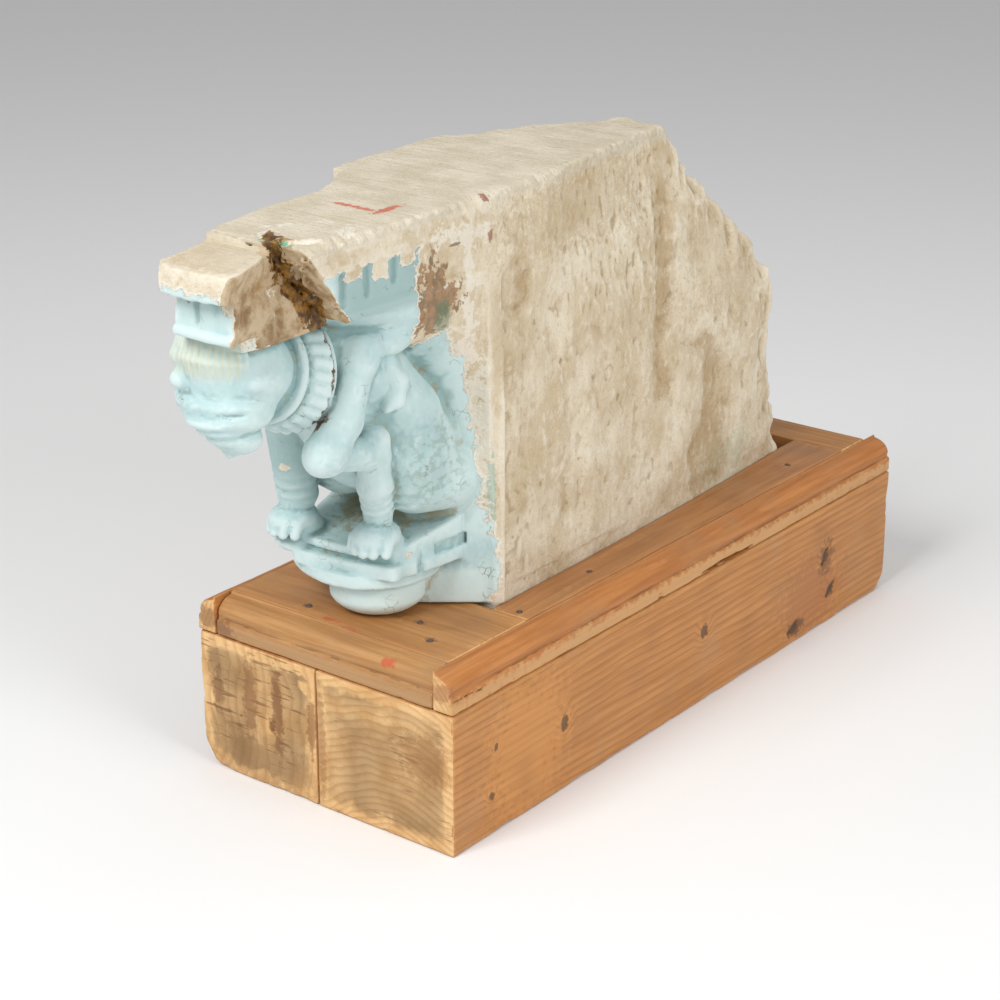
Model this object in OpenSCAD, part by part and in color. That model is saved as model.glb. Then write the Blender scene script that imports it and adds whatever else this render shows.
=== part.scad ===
// Stone corbel with a crouching lion under a broken cornice, standing with its
// rough tail in a fitted opening of a two-timber base.
// Origin: centre of the base's underside. +Z up, the carving faces -Y.

/* [Base timbers] */
// Length of the base along Y
base_l = 700; // [560:1:860]
// Width of the base along X
base_w = 278; // [262:1:340]
// Height of the two timbers
beam_h = 126; // [90:1:160]
// Distance of the joint between the timbers from the middle, to the left
beam_split = 6; // [0:1:30]
// Chamfer along the left timber's worn bottom edge
left_bottom_chamfer = 14; // [4:1:24]
// Chamfer across the timbers' back bottom edge
back_bottom_chamfer = 16; // [4:1:30]

/* [Top frame] */
// Thickness of the boards on top of the timbers
frame_t = 35; // [24:1:45]
// Width of the moulding between the boards and the base's outer faces
moulding_w = 21; // [16:1:28]
// Height of the moulding's upright lower fillet
fillet_h = 17; // [10:1:18]
// Set-back of the moulding's slope above the lower fillet
quirk_in = 2; // [1:0.5:3]
// Height of the quirk between the slope and the board's top
quirk_top = 3; // [1:0.5:4]
// Length of the front board along Y
front_board_l = 104; // [80:1:150]
// Width of the back rail along Y
back_rail_w = 42; // [24:1:60]
// Gap between neighbouring frame boards
joint_gap = 0.4; // [0.2:0.1:1.5]

/* [Nails] */
// Diameter of a nail's head
nail_head_d = 7; // [5:0.5:9]
// Thickness of a nail's head
nail_head_t = 1.4; // [1:0.1:2]
// Diameter of a nail's shank
nail_d = 3; // [2:0.25:4]
// Length of a nail's shank
nail_l = 56; // [45:1:70]
// Clearance around a nail
nail_fit = 0.05; // [0:0.01:0.2]

/* [Stone block] */
// Width of the block at its front
block_w = 160; // [140:1:180]
// Width of the block at the end of its tail
tail_w = 128; // [100:1:140]
// Space between the front board and the foot of the block
front_gap = 7; // [2:1:12]
// Open space between the tail's end and the back rail
back_gap = 28; // [6:1:40]
// Height of the sawn top above the frame
stone_h = 352; // [290:1:430]
// How far the block's front face leans forward at its top
front_lean = 16; // [0:1:24]
// Clearance between the block and the frame's opening
opening_fit = 0.6; // [0.3:0.1:3]

/* [Cornice] */
// Reach of the cornice before the foot of the block
cornice_reach = 288; // [230:1:346]
// Thickness of the plain slab at the cornice's top
slab_t = 26; // [16:1:34]
// Height of the frieze of blocks under the slab
frieze_h = 30; // [20:1:40]
// Height of the fillet under the frieze
cornice_fillet_h = 9; // [5:1:14]
// Projection of the slab over the frieze
frieze_in = 8; // [3:1:14]
// Width of the upright grooves in the frieze
groove_w = 4; // [2:0.5:7]
// Depth of the upright grooves in the frieze
groove_d = 6; // [3:0.5:9]
// Spacing of the grooves on the right side
groove_pitch = 29; // [22:1:36]
// Distance of the foremost of those grooves before the foot of the block
groove_first = 180; // [140:1:220]
// Distance of the front groove from the middle, to the right
front_groove = 18; // [10:1:30]

/* [Lion and its stand] */
// Distance of the round stand's middle before the foot of the block
stand_reach = 57; // [50:1:64]
// Radius of the round foot pad
pad_r = 41; // [30:1:50]
// Taper of the foot pad's lower half
pad_taper = 4; // [0:1:8]
// Height of the foot pad
pad_h = 33; // [24:1:40]
// Radius of the disc over the pad
disc_r = 60; // [50:1:72]
// Thickness of the disc
disc_t = 12; // [8:1:18]
// Width of the stepped slab the lion stands on
stand_w = 92; // [70:1:110]
// Length of the stepped slab
stand_l = 76; // [60:1:90]
// Thickness of the stepped slab
stand_t = 18; // [12:1:26]
// Clearance of the foot pad over the front board
pad_gap = 1.2; // [0.5:0.1:3]
// Distance of the lion's feet from each other
feet_apart = 86; // [70:1:100]
// Radius of a foot
foot_r = 21; // [16:1:25]
// Radius of the lion's collar
collar_r = 50; // [40:1:60]
// Thickness of the lion's collar
collar_t = 28; // [18:1:36]

/* [Hidden] */

eps = 0.01;
frame_top = beam_h + frame_t;
half_w = base_w / 2;
half_l = base_l / 2;
flat_x = half_w - moulding_w;              // outer edge of the flat boards
flat_y = half_l - moulding_w;
board_back = -flat_y + front_board_l;      // joint behind the front board
rail_back = flat_y - back_rail_w;          // joint before the back rail

// the stone's foot fills the frame's opening from the front board to the open space
block_front = -board_back - front_gap;
tail_end = rail_back - back_gap;
tail_l = tail_end + block_front;
stone_top = frame_top + stone_h;

// Half the stone's width at a place along Y
function side_x(y) = block_w / 2 + (tail_w - block_w) / 2 * pow((y + block_front) / tail_l, 2);
// Half the opening's width at a place along Y
function opening_x(y) = side_x(y) + opening_fit;
// Place across a rail, as a share of its width from the opening outwards
function rail_x(share, y) = opening_x(y) + share * (flat_x - opening_x(y));

// Places of the nails, on the front board and along the right and left rails
nail_spots = [
    [-0.31 * half_w, -flat_y + 15], [0.37 * half_w, -flat_y + 46], [0.58 * half_w, -flat_y + 23],
    [rail_x(0.6, board_back + 9), board_back + 9],
    [rail_x(0.5, board_back + 114), board_back + 114],
    [rail_x(0.58, rail_back - 66), rail_back - 66],
    [-rail_x(0.6, board_back + 11), board_back + 11],
    [-rail_x(0.5, board_back + 128), board_back + 128],
    [-rail_x(0.6, rail_back - 58), rail_back - 58]
];

// ---- base timbers ----

module nail_holes() {
    for (p = nail_spots)
        translate([p[0], p[1], 0]) {
            translate([0, 0, frame_top - nail_l])
                cylinder(r = nail_d / 2 + nail_fit, h = nail_l + 1, $fn = 32);
            translate([0, 0, frame_top - nail_head_t])
                cylinder(r = nail_head_d / 2 + nail_fit, h = nail_head_t + 1, $fn = 32);
        }
}

module timber(x0, x1, chamfered_side) {
    difference() {
        translate([x0, -half_l, 0]) cube([x1 - x0, base_l, beam_h]);
        // worn bottom edge along the outer side
        if (chamfered_side)
            translate([x0, 0, 0]) rotate([90, 0, 0])
                linear_extrude(base_l + 2, center = true)
                    polygon([[-1, -1], [left_bottom_chamfer, -1], [-1, left_bottom_chamfer * 1.6]]);
        // sloping back bottom edge
        translate([(x0 + x1) / 2, half_l, 0]) rotate([90, 0, 90])
            linear_extrude(base_w, center = true)
                polygon([[1, -1], [1, back_bottom_chamfer], [-back_bottom_chamfer, -1]]);
        nail_holes();
    }
}

module left_beam() { color("#bd8048") timber(-half_w, -beam_split, true); }
module right_beam() { color("#c08449") timber(-beam_split, half_w, false); }

// ---- frame boards ----

module front_board() {
    color("#b97c42") difference() {
        translate([-flat_x, -flat_y, beam_h]) cube([2 * flat_x, front_board_l, frame_t]);
        nail_holes();
    }
}

module back_rail() {
    color("#b97c42") translate([-flat_x, rail_back, beam_h])
        cube([2 * flat_x, back_rail_w, frame_t]);
}

// A rail beside the stone; its inner edge follows the stone's side
module right_rail_shape() {
    y0 = board_back + joint_gap;
    y1 = rail_back - joint_gap;
    ys = [for (i = [0:8]) y0 + (y1 - y0) * i / 8];
    translate([0, 0, beam_h]) linear_extrude(frame_t)
        polygon(concat([[flat_x, y1], [flat_x, y0]], [for (y = ys) [opening_x(y), y]]));
}

module right_rail() {
    color("#b97c42") difference() { right_rail_shape(); nail_holes(); }
}

module left_rail() {
    color("#b97c42") difference() { mirror([1, 0, 0]) right_rail_shape(); nail_holes(); }
}

// ---- mouldings ----

// Section: u runs inwards from the base's outer face, v upwards from the timbers
module moulding_section() {
    rise = frame_t - fillet_h - quirk_top;
    run = moulding_w - 2 * quirk_in;
    polygon(concat(
        [[0, 0], [0, fillet_h], [quirk_in, fillet_h]],
        [for (a = [0:15:90]) [quirk_in + run * (1 - cos(a)), fillet_h + rise * sin(a)]],
        [[quirk_in + run, frame_t], [moulding_w - joint_gap, frame_t], [moulding_w - joint_gap, 0]]
    ));
}

// A side moulding runs the whole length of the base
module side_moulding() {
    translate([half_w, 0, beam_h]) rotate([90, 0, 0]) mirror([1, 0, 0])
        linear_extrude(base_l, center = true) moulding_section();
}

// An end moulding fits between the side mouldings
module end_moulding() {
    translate([0, -half_l, beam_h]) rotate([90, 0, 90])
        linear_extrude(2 * flat_x, center = true) moulding_section();
}

module right_moulding() { color("#c08a50") side_moulding(); }
module left_moulding() { color("#c08a50") mirror([1, 0, 0]) side_moulding(); }
module front_moulding() { color("#cf9f63") end_moulding(); }
module back_moulding() { color("#c08a50") mirror([0, 1, 0]) end_moulding(); }

// ---- nails ----

module frame_nails() {
    color("#4a4038") for (p = nail_spots)
        translate([p[0], p[1], 0]) {
            translate([0, 0, frame_top - nail_l])
                cylinder(r = nail_d / 2, h = nail_l - nail_head_t + eps, $fn = 32);
            translate([0, 0, frame_top - nail_head_t])
                cylinder(r = nail_head_d / 2, h = nail_head_t, $fn = 32);
        }
}

// ---- stone ----

slab_z = stone_top - slab_t;
frieze_z = slab_z - frieze_h;
soffit_z = frieze_z - cornice_fillet_h;
stand_y = -block_front - stand_reach;      // middle of the round stand
pad_z = frame_top + pad_gap;
disc_z = pad_z + pad_h;
step_z = disc_z + disc_t;
stand_z = step_z + stand_t;                // level the lion's feet stand on
lion_h = soffit_z - stand_z;               // the lion fills this height
foot_x = feet_apart / 2;

// Side outline of the block behind its front face, from the top down to the foot:
// share of the tail's length, and share of the height above the frame
tail_profile = [
    [0.541, 1], [0.608, 0.943], [0.704, 0.824], [0.868, 0.622], [0.937, 0.528],
    [0.948, 0.415], [0.935, 0.318], [0.96, 0.227], [0.992, 0]
];

// Rough block: side outline cut through the tapering plan
module tail_block() {
    ys = [for (i = [0:8]) -block_front + tail_l * i / 8];
    lip = -block_front - front_lean;
    intersection() {
        rotate([90, 0, 90]) linear_extrude(block_w + 20, center = true)
            polygon(concat(
                [[-block_front, beam_h], [lip, stone_top]],
                [for (p = tail_profile) [-block_front + p[0] * tail_l, frame_top + p[1] * stone_h]],
                [[tail_end, beam_h]]
            ));
        translate([0, 0, beam_h - 1]) linear_extrude(stone_top)
            polygon(concat(
                [[-block_w / 2, lip - 1], [block_w / 2, lip - 1]],
                [for (y = ys) [side_x(y), y]],
                [for (i = [8:-1:0]) [-side_x(ys[i]), ys[i]]]
            ));
    }
}

// Broken upper left corner of the tail: the cut leans out towards the foot
module tail_break() {
    translate([-block_w / 2 - 2, -block_front + 0.226 * tail_l, stone_top])
        rotate([0, 0, 56]) rotate([24, 0, 0])
            translate([-120, 0, -150]) cube([420, 160, 260]);
}

// Place along Y of a share of the cornice's reach
function cornice_y(share) = -block_front - share * cornice_reach;

// Outline of the cornice from above, its front left part broken away
module cornice_outline(inset) {
    x1 = block_w / 2;
    polygon([
        [x1, cornice_y(0)], [x1, cornice_y(0.951) + inset], [inset - 6, cornice_y(1) + inset],
        [inset - 12, cornice_y(0.806)], [inset - 34, cornice_y(0.625)],
        [inset - 36, cornice_y(0.257)], [inset - 57, cornice_y(0.132)], [2 - x1, cornice_y(0)]
    ]);
}

module cornice() {
    difference() {
        union() {
            translate([0, 0, slab_z]) linear_extrude(slab_t) cornice_outline(0);
            translate([0, 0, soffit_z - eps])
                linear_extrude(frieze_h + cornice_fillet_h + 2 * eps) cornice_outline(frieze_in);
        }
        // grooves between the frieze's blocks, on the right side and on the front
        for (i = [0:2])
            translate([block_w / 2 - groove_d, -block_front - groove_first + i * groove_pitch, frieze_z])
                cube([groove_d + 1, groove_w, frieze_h - 2]);
        translate([front_groove, cornice_y(1) + frieze_in - 2, frieze_z])
            cube([groove_w, groove_d + 2, frieze_h]);
    }
}

// Slanting break where the cornice's right front corner is gone
module corner_break() {
    translate([block_w / 2 - 2, cornice_y(1) + 6, stone_top])
        rotate([0, 0, -6]) rotate([0, 24, 0])
            translate([0, -40, -110]) cube([70, 104, 130]);
}

// Splayed ground behind the lion, between the block and the cornice
module ground() {
    y0 = -block_front;
    x1 = block_w / 2;
    splay = 35;
    translate([0, 0, pad_z]) linear_extrude(soffit_z - pad_z + 1)
        polygon([
            [-x1, y0 + 2], [-x1, y0], [-28, y0 - splay], [28, y0 - splay], [x1, y0], [x1, y0 + 2]
        ]);
    // the ground comes forward under the cornice
    upper_h = 52;
    upper_reach = 112;
    translate([0, 0, soffit_z - upper_h]) linear_extrude(upper_h + 1)
        polygon([
            [6 - x1, y0 + 1], [-52, y0 - upper_reach], [52, y0 - upper_reach], [x1 - 6, y0 + 1]
        ]);
}

module stand() {
    translate([0, stand_y, pad_z]) cylinder(r1 = pad_r - pad_taper, r2 = pad_r, h = pad_h / 2, $fn = 48);
    translate([0, stand_y, pad_z + pad_h / 2 - eps])
        cylinder(r = pad_r, h = pad_h / 2 + 2 * eps, $fn = 48);
    translate([0, stand_y, disc_z]) cylinder(r = disc_r, h = disc_t + eps, $fn = 48);
    translate([-stand_w / 2, stand_y - stand_l / 2, step_z]) cube([stand_w, stand_l, stand_t]);
    // side blocks that carry the step back to the ground
    side_w = 36;
    side_reach = 50;
    for (s = [-1, 1]) translate([s * side_reach - side_w / 2, stand_y + 4, step_z])
        cube([side_w, 40, stand_t + 12]);
}

// A limb or body mass between two balls
module mass(a, b, ra, rb) {
    hull() {
        translate(a) sphere(ra, $fn = 18);
        translate(b) sphere(rb, $fn = 18);
    }
}

// Place in the lion: across, before the foot of the block, and as a share of its height
function lion_at(x, fore, share) = [x, -block_front - fore, stand_z + share * lion_h];

module lion() {
    // head with its pointed chin
    hull() {
        translate(lion_at(0, 200, 0.807)) sphere(50, $fn = 24);
        translate(lion_at(0, 234, 0.838)) sphere(40, $fn = 24);
        translate(lion_at(4, 220, 0.569)) sphere(9, $fn = 16);
    }
    // collar around the neck
    translate(lion_at(0, 128, 0.722)) rotate([90, 0, 0])
        cylinder(r = collar_r, h = collar_t, $fn = 12);
    // trunk back to the ground, and the haunches across it
    mass(lion_at(0, 112, 0.748), lion_at(0, 68, 0.336), 52, 50);
    mass(lion_at(-foot_x - 4, 58, 0.3), lion_at(foot_x + 4, 58, 0.3), 34, 34);
    // forelegs: upper arm to the paw, then the shin down to the foot
    for (s = [-1, 1]) {
        mass(lion_at(s * foot_x, 122, 0.784), lion_at(s * foot_x, 160, 0.488), 24, 20);
        mass(lion_at(s * foot_x, 118, 0.434), lion_at(s * foot_x, 100, 0.072), 20, 17);
        translate(lion_at(s * foot_x, 100, 0) - [0, 0, 1]) rotate([0, 0, 15])
            cylinder(r = foot_r, h = 18, $fn = 12);
    }
}

module stone_corbel() {
    color("#cdbd9f") difference() {
        union() {
            tail_block();
            cornice();
            color("#b5d8de") {
                ground();
                stand();
                lion();
            }
        }
        tail_break();
        corner_break();
    }
}

left_beam();
right_beam();
front_board();
back_rail();
left_rail();
right_rail();
front_moulding();
back_moulding();
left_moulding();
right_moulding();
frame_nails();
stone_corbel();
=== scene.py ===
"""Looks of a carved and painted lion corbel that stands in a fitted timber base.

Every piece is carved as a block of distances in millimetres, meshed, and dressed in a
procedural finish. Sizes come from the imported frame.
"""

import math

import bpy
import numpy as np
import openvdb
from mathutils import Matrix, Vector


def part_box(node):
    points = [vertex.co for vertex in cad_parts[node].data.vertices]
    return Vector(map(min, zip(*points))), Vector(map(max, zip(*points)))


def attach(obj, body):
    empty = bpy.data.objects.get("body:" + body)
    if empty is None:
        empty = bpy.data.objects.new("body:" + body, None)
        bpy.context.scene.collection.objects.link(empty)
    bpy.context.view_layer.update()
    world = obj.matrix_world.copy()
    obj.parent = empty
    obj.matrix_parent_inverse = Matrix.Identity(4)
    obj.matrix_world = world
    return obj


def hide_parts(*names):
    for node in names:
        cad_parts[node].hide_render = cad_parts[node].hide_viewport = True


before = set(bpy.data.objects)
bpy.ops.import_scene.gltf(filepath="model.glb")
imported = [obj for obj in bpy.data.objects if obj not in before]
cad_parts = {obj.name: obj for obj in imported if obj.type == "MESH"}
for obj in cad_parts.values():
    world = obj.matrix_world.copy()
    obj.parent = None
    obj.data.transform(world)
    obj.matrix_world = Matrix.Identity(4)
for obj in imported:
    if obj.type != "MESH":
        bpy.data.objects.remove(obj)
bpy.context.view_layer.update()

MM = 0.001
FAR = 60.0


def cad_mm(node):
    """Lowest and highest corners of a CAD node, in millimetres."""
    low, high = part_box(node)
    return np.array(low) / MM, np.array(high) / MM


# ---------------------------------------------------------------- sizes from the frame

base_high = np.maximum(cad_mm("left_beam")[1], cad_mm("right_beam")[1])
half_w = base_high[0]
half_l = base_high[1]
beam_top = base_high[2]
beam_joint = cad_mm("right_beam")[0][0]
frame_top = cad_mm("front_board")[1][2]
flat_x = cad_mm("front_board")[1][0]
flat_y = -cad_mm("front_board")[0][1]
board_back = cad_mm("front_board")[1][1]
rail_back = cad_mm("back_rail")[0][1]
stone_low, stone_high = cad_mm("stone_corbel")

top_z = stone_high[2]                # the sawn top
nose_y = stone_low[1]                # front of the cornice
tail_y = stone_high[1]               # end of the tail
block_y = board_back + 7             # foot of the block's front face
block_x = 80.0                       # half the block's width at its front
tail_x = 64.0                        # and at the end of the tail
slab_z = top_z - 26                  # underside of the cornice's plain slab
frieze_z = slab_z - 30               # underside of the frieze of blocks
soffit_z = frieze_z - 9              # underside of the fillet below it
pad_z = frame_top + 1.5              # undersides of the stand's pad, disc and stepped slab
disc_z = pad_z + 31
step_z = disc_z + 12
stand_z = step_z + 18                # level the feet stand on
stand_y = block_y - 57               # middle of the round stand
collar_z = 392.0                     # axis of the collar
open_joint = 0.3                     # half the gap left where two timbers meet


def side_x(y):
    """Half the stone's width at a place along its length."""
    along = np.clip((y - block_y) / (tail_y - block_y), 0, 1)
    return block_x + (tail_x - block_x) * along ** 2


# ---------------------------------------------------------------- carving tools

def ramp(value, start, end):
    """0 before start, 1 after end, and smooth between."""
    t = np.clip((value - start) / (end - start), 0, 1)
    return t * t * (3 - 2 * t)


def smooth_min(a, b, soft):
    """The lower of two distances, blended where they are within soft of each other."""
    if soft <= 0:
        return np.minimum(a, b)
    h = np.clip(0.5 + 0.5 * (b - a) / soft, 0, 1)
    return b + (a - b) * h - soft * h * (1 - h)


def smooth_max(a, b, soft):
    return -smooth_min(-a, -b, soft)


def rounded(a, b, radius):
    """Where two shapes overlap, with the edge between them rounded."""
    a, b = a + radius, b + radius
    return np.minimum(np.maximum(a, b), 0) + np.hypot(np.maximum(a, 0), np.maximum(b, 0)) - radius


def outline(u, v, points):
    """Distance in a plane to a closed outline, negative inside."""
    nearest = np.full(np.broadcast(u, v).shape, 1e9, np.float32)
    sign = np.ones_like(nearest)
    for (ax, ay), (bx, by) in zip(points, points[-1:] + points[:-1]):
        ex, ey = bx - ax, by - ay
        wx, wy = u - ax, v - ay
        t = np.clip((wx * ex + wy * ey) / (ex * ex + ey * ey), 0, 1)
        nearest = np.minimum(nearest, (wx - ex * t) ** 2 + (wy - ey * t) ** 2)
        above, below, left = v >= ay, v < by, ex * wy > ey * wx
        flip = (above & below & left) | (~above & ~below & ~left)
        sign = np.where(flip, -sign, sign)
    return sign * np.sqrt(nearest)


def trail(u, v, points):
    """Distance in a plane to an open line of points."""
    nearest = np.full(np.broadcast(u, v).shape, 1e9, np.float32)
    for (ax, ay), (bx, by) in zip(points[:-1], points[1:]):
        ex, ey = bx - ax, by - ay
        t = np.clip(((u - ax) * ex + (v - ay) * ey) / (ex * ex + ey * ey), 0, 1)
        nearest = np.minimum(nearest, (u - ax - ex * t) ** 2 + (v - ay - ey * t) ** 2)
    return np.sqrt(nearest)


def egg(centre, radii, turn=0.0):
    """A shape function for an ellipsoid, turned about the upright axis by degrees."""
    c, s = math.cos(math.radians(turn)), math.sin(math.radians(turn))

    def shape(x, y, z):
        dx, dy, dz = x - centre[0], y - centre[1], z - centre[2]
        px, py = (c * dx + s * dy) / radii[0], (c * dy - s * dx) / radii[1]
        pz = dz / radii[2]
        k0 = np.sqrt(px * px + py * py + pz * pz)
        k1 = np.sqrt((px / radii[0]) ** 2 + (py / radii[1]) ** 2 + (pz / radii[2]) ** 2)
        return k0 * (k0 - 1) / np.maximum(k1, 1e-6)
    return shape


def limb(a, b, ra, rb):
    """A shape function for a round limb from a to b, its radius running from ra to rb."""
    def shape(x, y, z):
        e = np.subtract(b, a)
        dx, dy, dz = x - a[0], y - a[1], z - a[2]
        t = np.clip((dx * e[0] + dy * e[1] + dz * e[2]) / float(e @ e), 0, 1)
        gap = np.sqrt((dx - e[0] * t) ** 2 + (dy - e[1] * t) ** 2 + (dz - e[2] * t) ** 2)
        return gap - (ra + (rb - ra) * t)
    return shape


def weave_matrix(axis, cell):
    """Weights that spread a coarse row of values, one per cell, over an axis."""
    t = (axis - axis[0]) / cell
    i = np.floor(t).astype(int)
    f = t - i
    s = f * f * (3 - 2 * f)
    weights = np.zeros((len(axis), i[-1] + 2), np.float32)
    weights[np.arange(len(axis)), i] = 1 - s
    weights[np.arange(len(axis)), i + 1] = s
    return weights


def noise_map(a, b, cells, seed):
    """Smooth random heights over two axes, about -1 to 1."""
    wa, wb = weave_matrix(a, cells[0]), weave_matrix(b, cells[1])
    coarse = np.random.default_rng(seed).uniform(-1, 1, (wa.shape[1], wb.shape[1]))
    return wa @ coarse.astype(np.float32) @ wb.T


def noise_block(axes, cells, seed):
    """Smooth random values over three axes, about -1 to 1."""
    wx, wy, wz = (weave_matrix(a, c) for a, c in zip(axes, cells))
    shape = (wx.shape[1], wy.shape[1], wz.shape[1])
    coarse = np.random.default_rng(seed).uniform(-1, 1, shape).astype(np.float32)
    rows = np.matmul(wy, coarse @ wz.T)
    flat = wx @ rows.reshape(shape[0], -1)
    return flat.reshape(len(axes[0]), len(axes[1]), len(axes[2]))


class Clay:
    """A block of distances in millimetres, negative inside, to add to and to cut."""

    def __init__(self, low, high, step):
        self.low = np.array(low, float)
        self.step = step
        counts = np.ceil((np.array(high, float) - self.low) / step).astype(int) + 1
        self.axes = [(self.low[i] + step * np.arange(counts[i])).astype(np.float32) for i in range(3)]
        self.d = np.full(counts, FAR, np.float32)

    def part(self, low, high):
        """The cells between two corners, with their places along each axis."""
        cut = []
        for i in range(3):
            start = max(0, int((low[i] - self.low[i]) / self.step))
            stop = min(len(self.axes[i]), int((high[i] - self.low[i]) / self.step) + 2)
            cut.append(slice(start, stop))
        x, y, z = (self.axes[i][cut[i]] for i in range(3))
        return tuple(cut), x[:, None, None], y[None, :, None], z[None, None, :]

    def axes_of(self, cut):
        """The axes of a part, for noise made over it alone."""
        return [self.axes[i][cut[i]] for i in range(3)]

    def everywhere(self):
        x, y, z = self.axes
        return x[:, None, None], y[None, :, None], z[None, None, :]

    def add(self, low, high, shape, soft=0.0):
        cut, x, y, z = self.part(low, high)
        self.d[cut] = smooth_min(self.d[cut], shape(x, y, z), soft)

    def cut(self, low, high, shape, soft=0.0):
        cut, x, y, z = self.part(low, high)
        self.d[cut] = smooth_max(self.d[cut], -shape(x, y, z), soft)

    def round_add(self, centre, reach, shape, soft):
        """Adds a shape that lies within reach of a centre."""
        room = reach + soft + 3 * self.step
        self.add(np.subtract(centre, room), np.add(centre, room), shape, soft)

    def limb(self, a, b, ra, rb, soft):
        room = max(ra, rb) + soft + 3 * self.step
        self.add(np.minimum(a, b) - room, np.maximum(a, b) + room, limb(a, b, ra, rb), soft)

    def egg(self, centre, radii, soft, turn=0.0):
        self.round_add(centre, max(radii), egg(centre, radii, turn), soft)

    def dent(self, centre, radii, soft, turn=0.0):
        room = max(radii) + soft + 3 * self.step
        low, high = np.subtract(centre, room), np.add(centre, room)
        self.cut(low, high, egg(centre, radii, turn), soft)

    def hollows(self, reach):
        """How much lower each place lies than its surroundings, in millimetres."""
        d = np.clip(self.d, -reach, reach)
        n = max(1, int(round(reach / self.step)))
        for axis in range(3):
            pad = [(0, 0)] * 3
            pad[axis] = (n + 1, n)
            total = np.cumsum(np.pad(d, pad, mode="edge"), axis=axis, dtype=np.float64)
            span = total.shape[axis]
            ahead = np.take(total, range(2 * n + 1, span), axis=axis)
            behind = np.take(total, range(0, span - 2 * n - 1), axis=axis)
            d = ((ahead - behind) / (2 * n + 1)).astype(np.float32)
        return -d

    def sample(self, values, points):
        """Values of a block at points in millimetres."""
        index = np.rint((points - self.low) / self.step).astype(int)
        index = np.clip(index, 0, np.array(values.shape) - 1)
        return values[index[:, 0], index[:, 1], index[:, 2]]

    def mesh(self, name, triangles):
        """The surface as a mesh object with at most that many triangles."""
        band = 3 * self.step
        grid = openvdb.FloatGrid(band)
        grid.copyFromArray(np.clip(self.d, -band, band))
        points, quads = grid.convertToQuads(0.0)
        places = (points * self.step + self.low) * MM
        data = bpy.data.meshes.new(name)
        data.vertices.add(len(places))
        data.vertices.foreach_set("co", places.astype(np.float32).ravel())
        data.loops.add(quads.size)
        data.loops.foreach_set("vertex_index", quads.astype(np.int32).ravel())
        data.polygons.add(len(quads))
        data.polygons.foreach_set("loop_start", np.arange(0, quads.size, 4, dtype=np.int32))
        data.update(calc_edges=True)
        data.validate()
        piece = bpy.data.objects.new(name, data)
        bpy.context.scene.collection.objects.link(piece)
        return thinned(piece, triangles)


def thinned(piece, triangles):
    """Collapses flat stretches until the piece has that many triangles, and turns it outwards."""
    have = 2 * len(piece.data.polygons)
    if have > triangles:
        thin = piece.modifiers.new("thin", "DECIMATE")
        thin.ratio = triangles / have
    graph = bpy.context.evaluated_depsgraph_get()
    data = bpy.data.meshes.new_from_object(piece.evaluated_get(graph))
    piece.modifiers.clear()
    old = piece.data
    piece.data = data
    bpy.data.meshes.remove(old)
    data.name = piece.name
    if signed_volume(data) < 0:
        data.flip_normals()
    data.polygons.foreach_set("use_smooth", np.ones(len(data.polygons), bool))
    data.update()
    return piece


def places_of(data):
    points = np.zeros(len(data.vertices) * 3, np.float32)
    data.vertices.foreach_get("co", points)
    return points.reshape(-1, 3) / MM


def signed_volume(data):
    data.calc_loop_triangles()
    corners = np.zeros(len(data.loop_triangles) * 3, np.int32)
    data.loop_triangles.foreach_get("vertices", corners)
    a, b, c = places_of(data)[corners].reshape(-1, 3, 3).transpose(1, 0, 2)
    return float(np.einsum("ij,ij->", a, np.cross(b, c)))


def give_mask(piece, name, values):
    """Stores one value per vertex for the finish to read."""
    layer = piece.data.attributes.new(name, "FLOAT", "POINT")
    layer.data.foreach_set("value", np.asarray(values, np.float32))


# ---------------------------------------------------------------- the stone

STONE_STEP = 1.5
STONE_TRIANGLES = 190000
NOSE_DROP = 6.0                      # the cracked nose has settled this much
# outline on the top of the thin flake that has lifted beside the crack
FLAKE = [(57, -433), (64, -424), (79, -410), (80, -399), (72, -388), (60, -369), (38, -367), (24, -386),
         (14, -404), (29, -428)]
# the cleft of the broken corner, from the top down: place, half sizes, turn in degrees
CLEFT = (
    ((50, -436, 505), (9, 5, 9), -40),
    ((52, -420, 484), (8, 6, 12), -30),
    ((56, -404, 462), (8, 6, 10), -30),
)


def crack_y(z):
    """Place along Y of the break between the nose and the rest, at a height."""
    return np.interp(z, (330, 355, 368, 380, 394, 407, 420, 432, 446, 456, 512),
                     (-390, -386.5, -384, -381.5, -378, -375, -372, -369, -385, -398, -441))


def tail_outline():
    """Side outline of the rough block, from its foot over the top and down the back."""
    lip = block_y - 16
    return [
        (block_y, 126), (block_y, frame_top), (lip, top_z), (44, top_z + 6), (66, 501), (84, 478),
        (116, 452), (160, 415), (197, 381), (227, 352), (236, 330), (235, 302), (229, 274),
        (239, 241), (246, 213), (257, 166), (258, 126),
    ]


SIDE_PITS = ((-126, 349), (-38, 294), (-11, 339), (-150, 250), (120, 330), (-60, 230), (10, 205))


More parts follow.
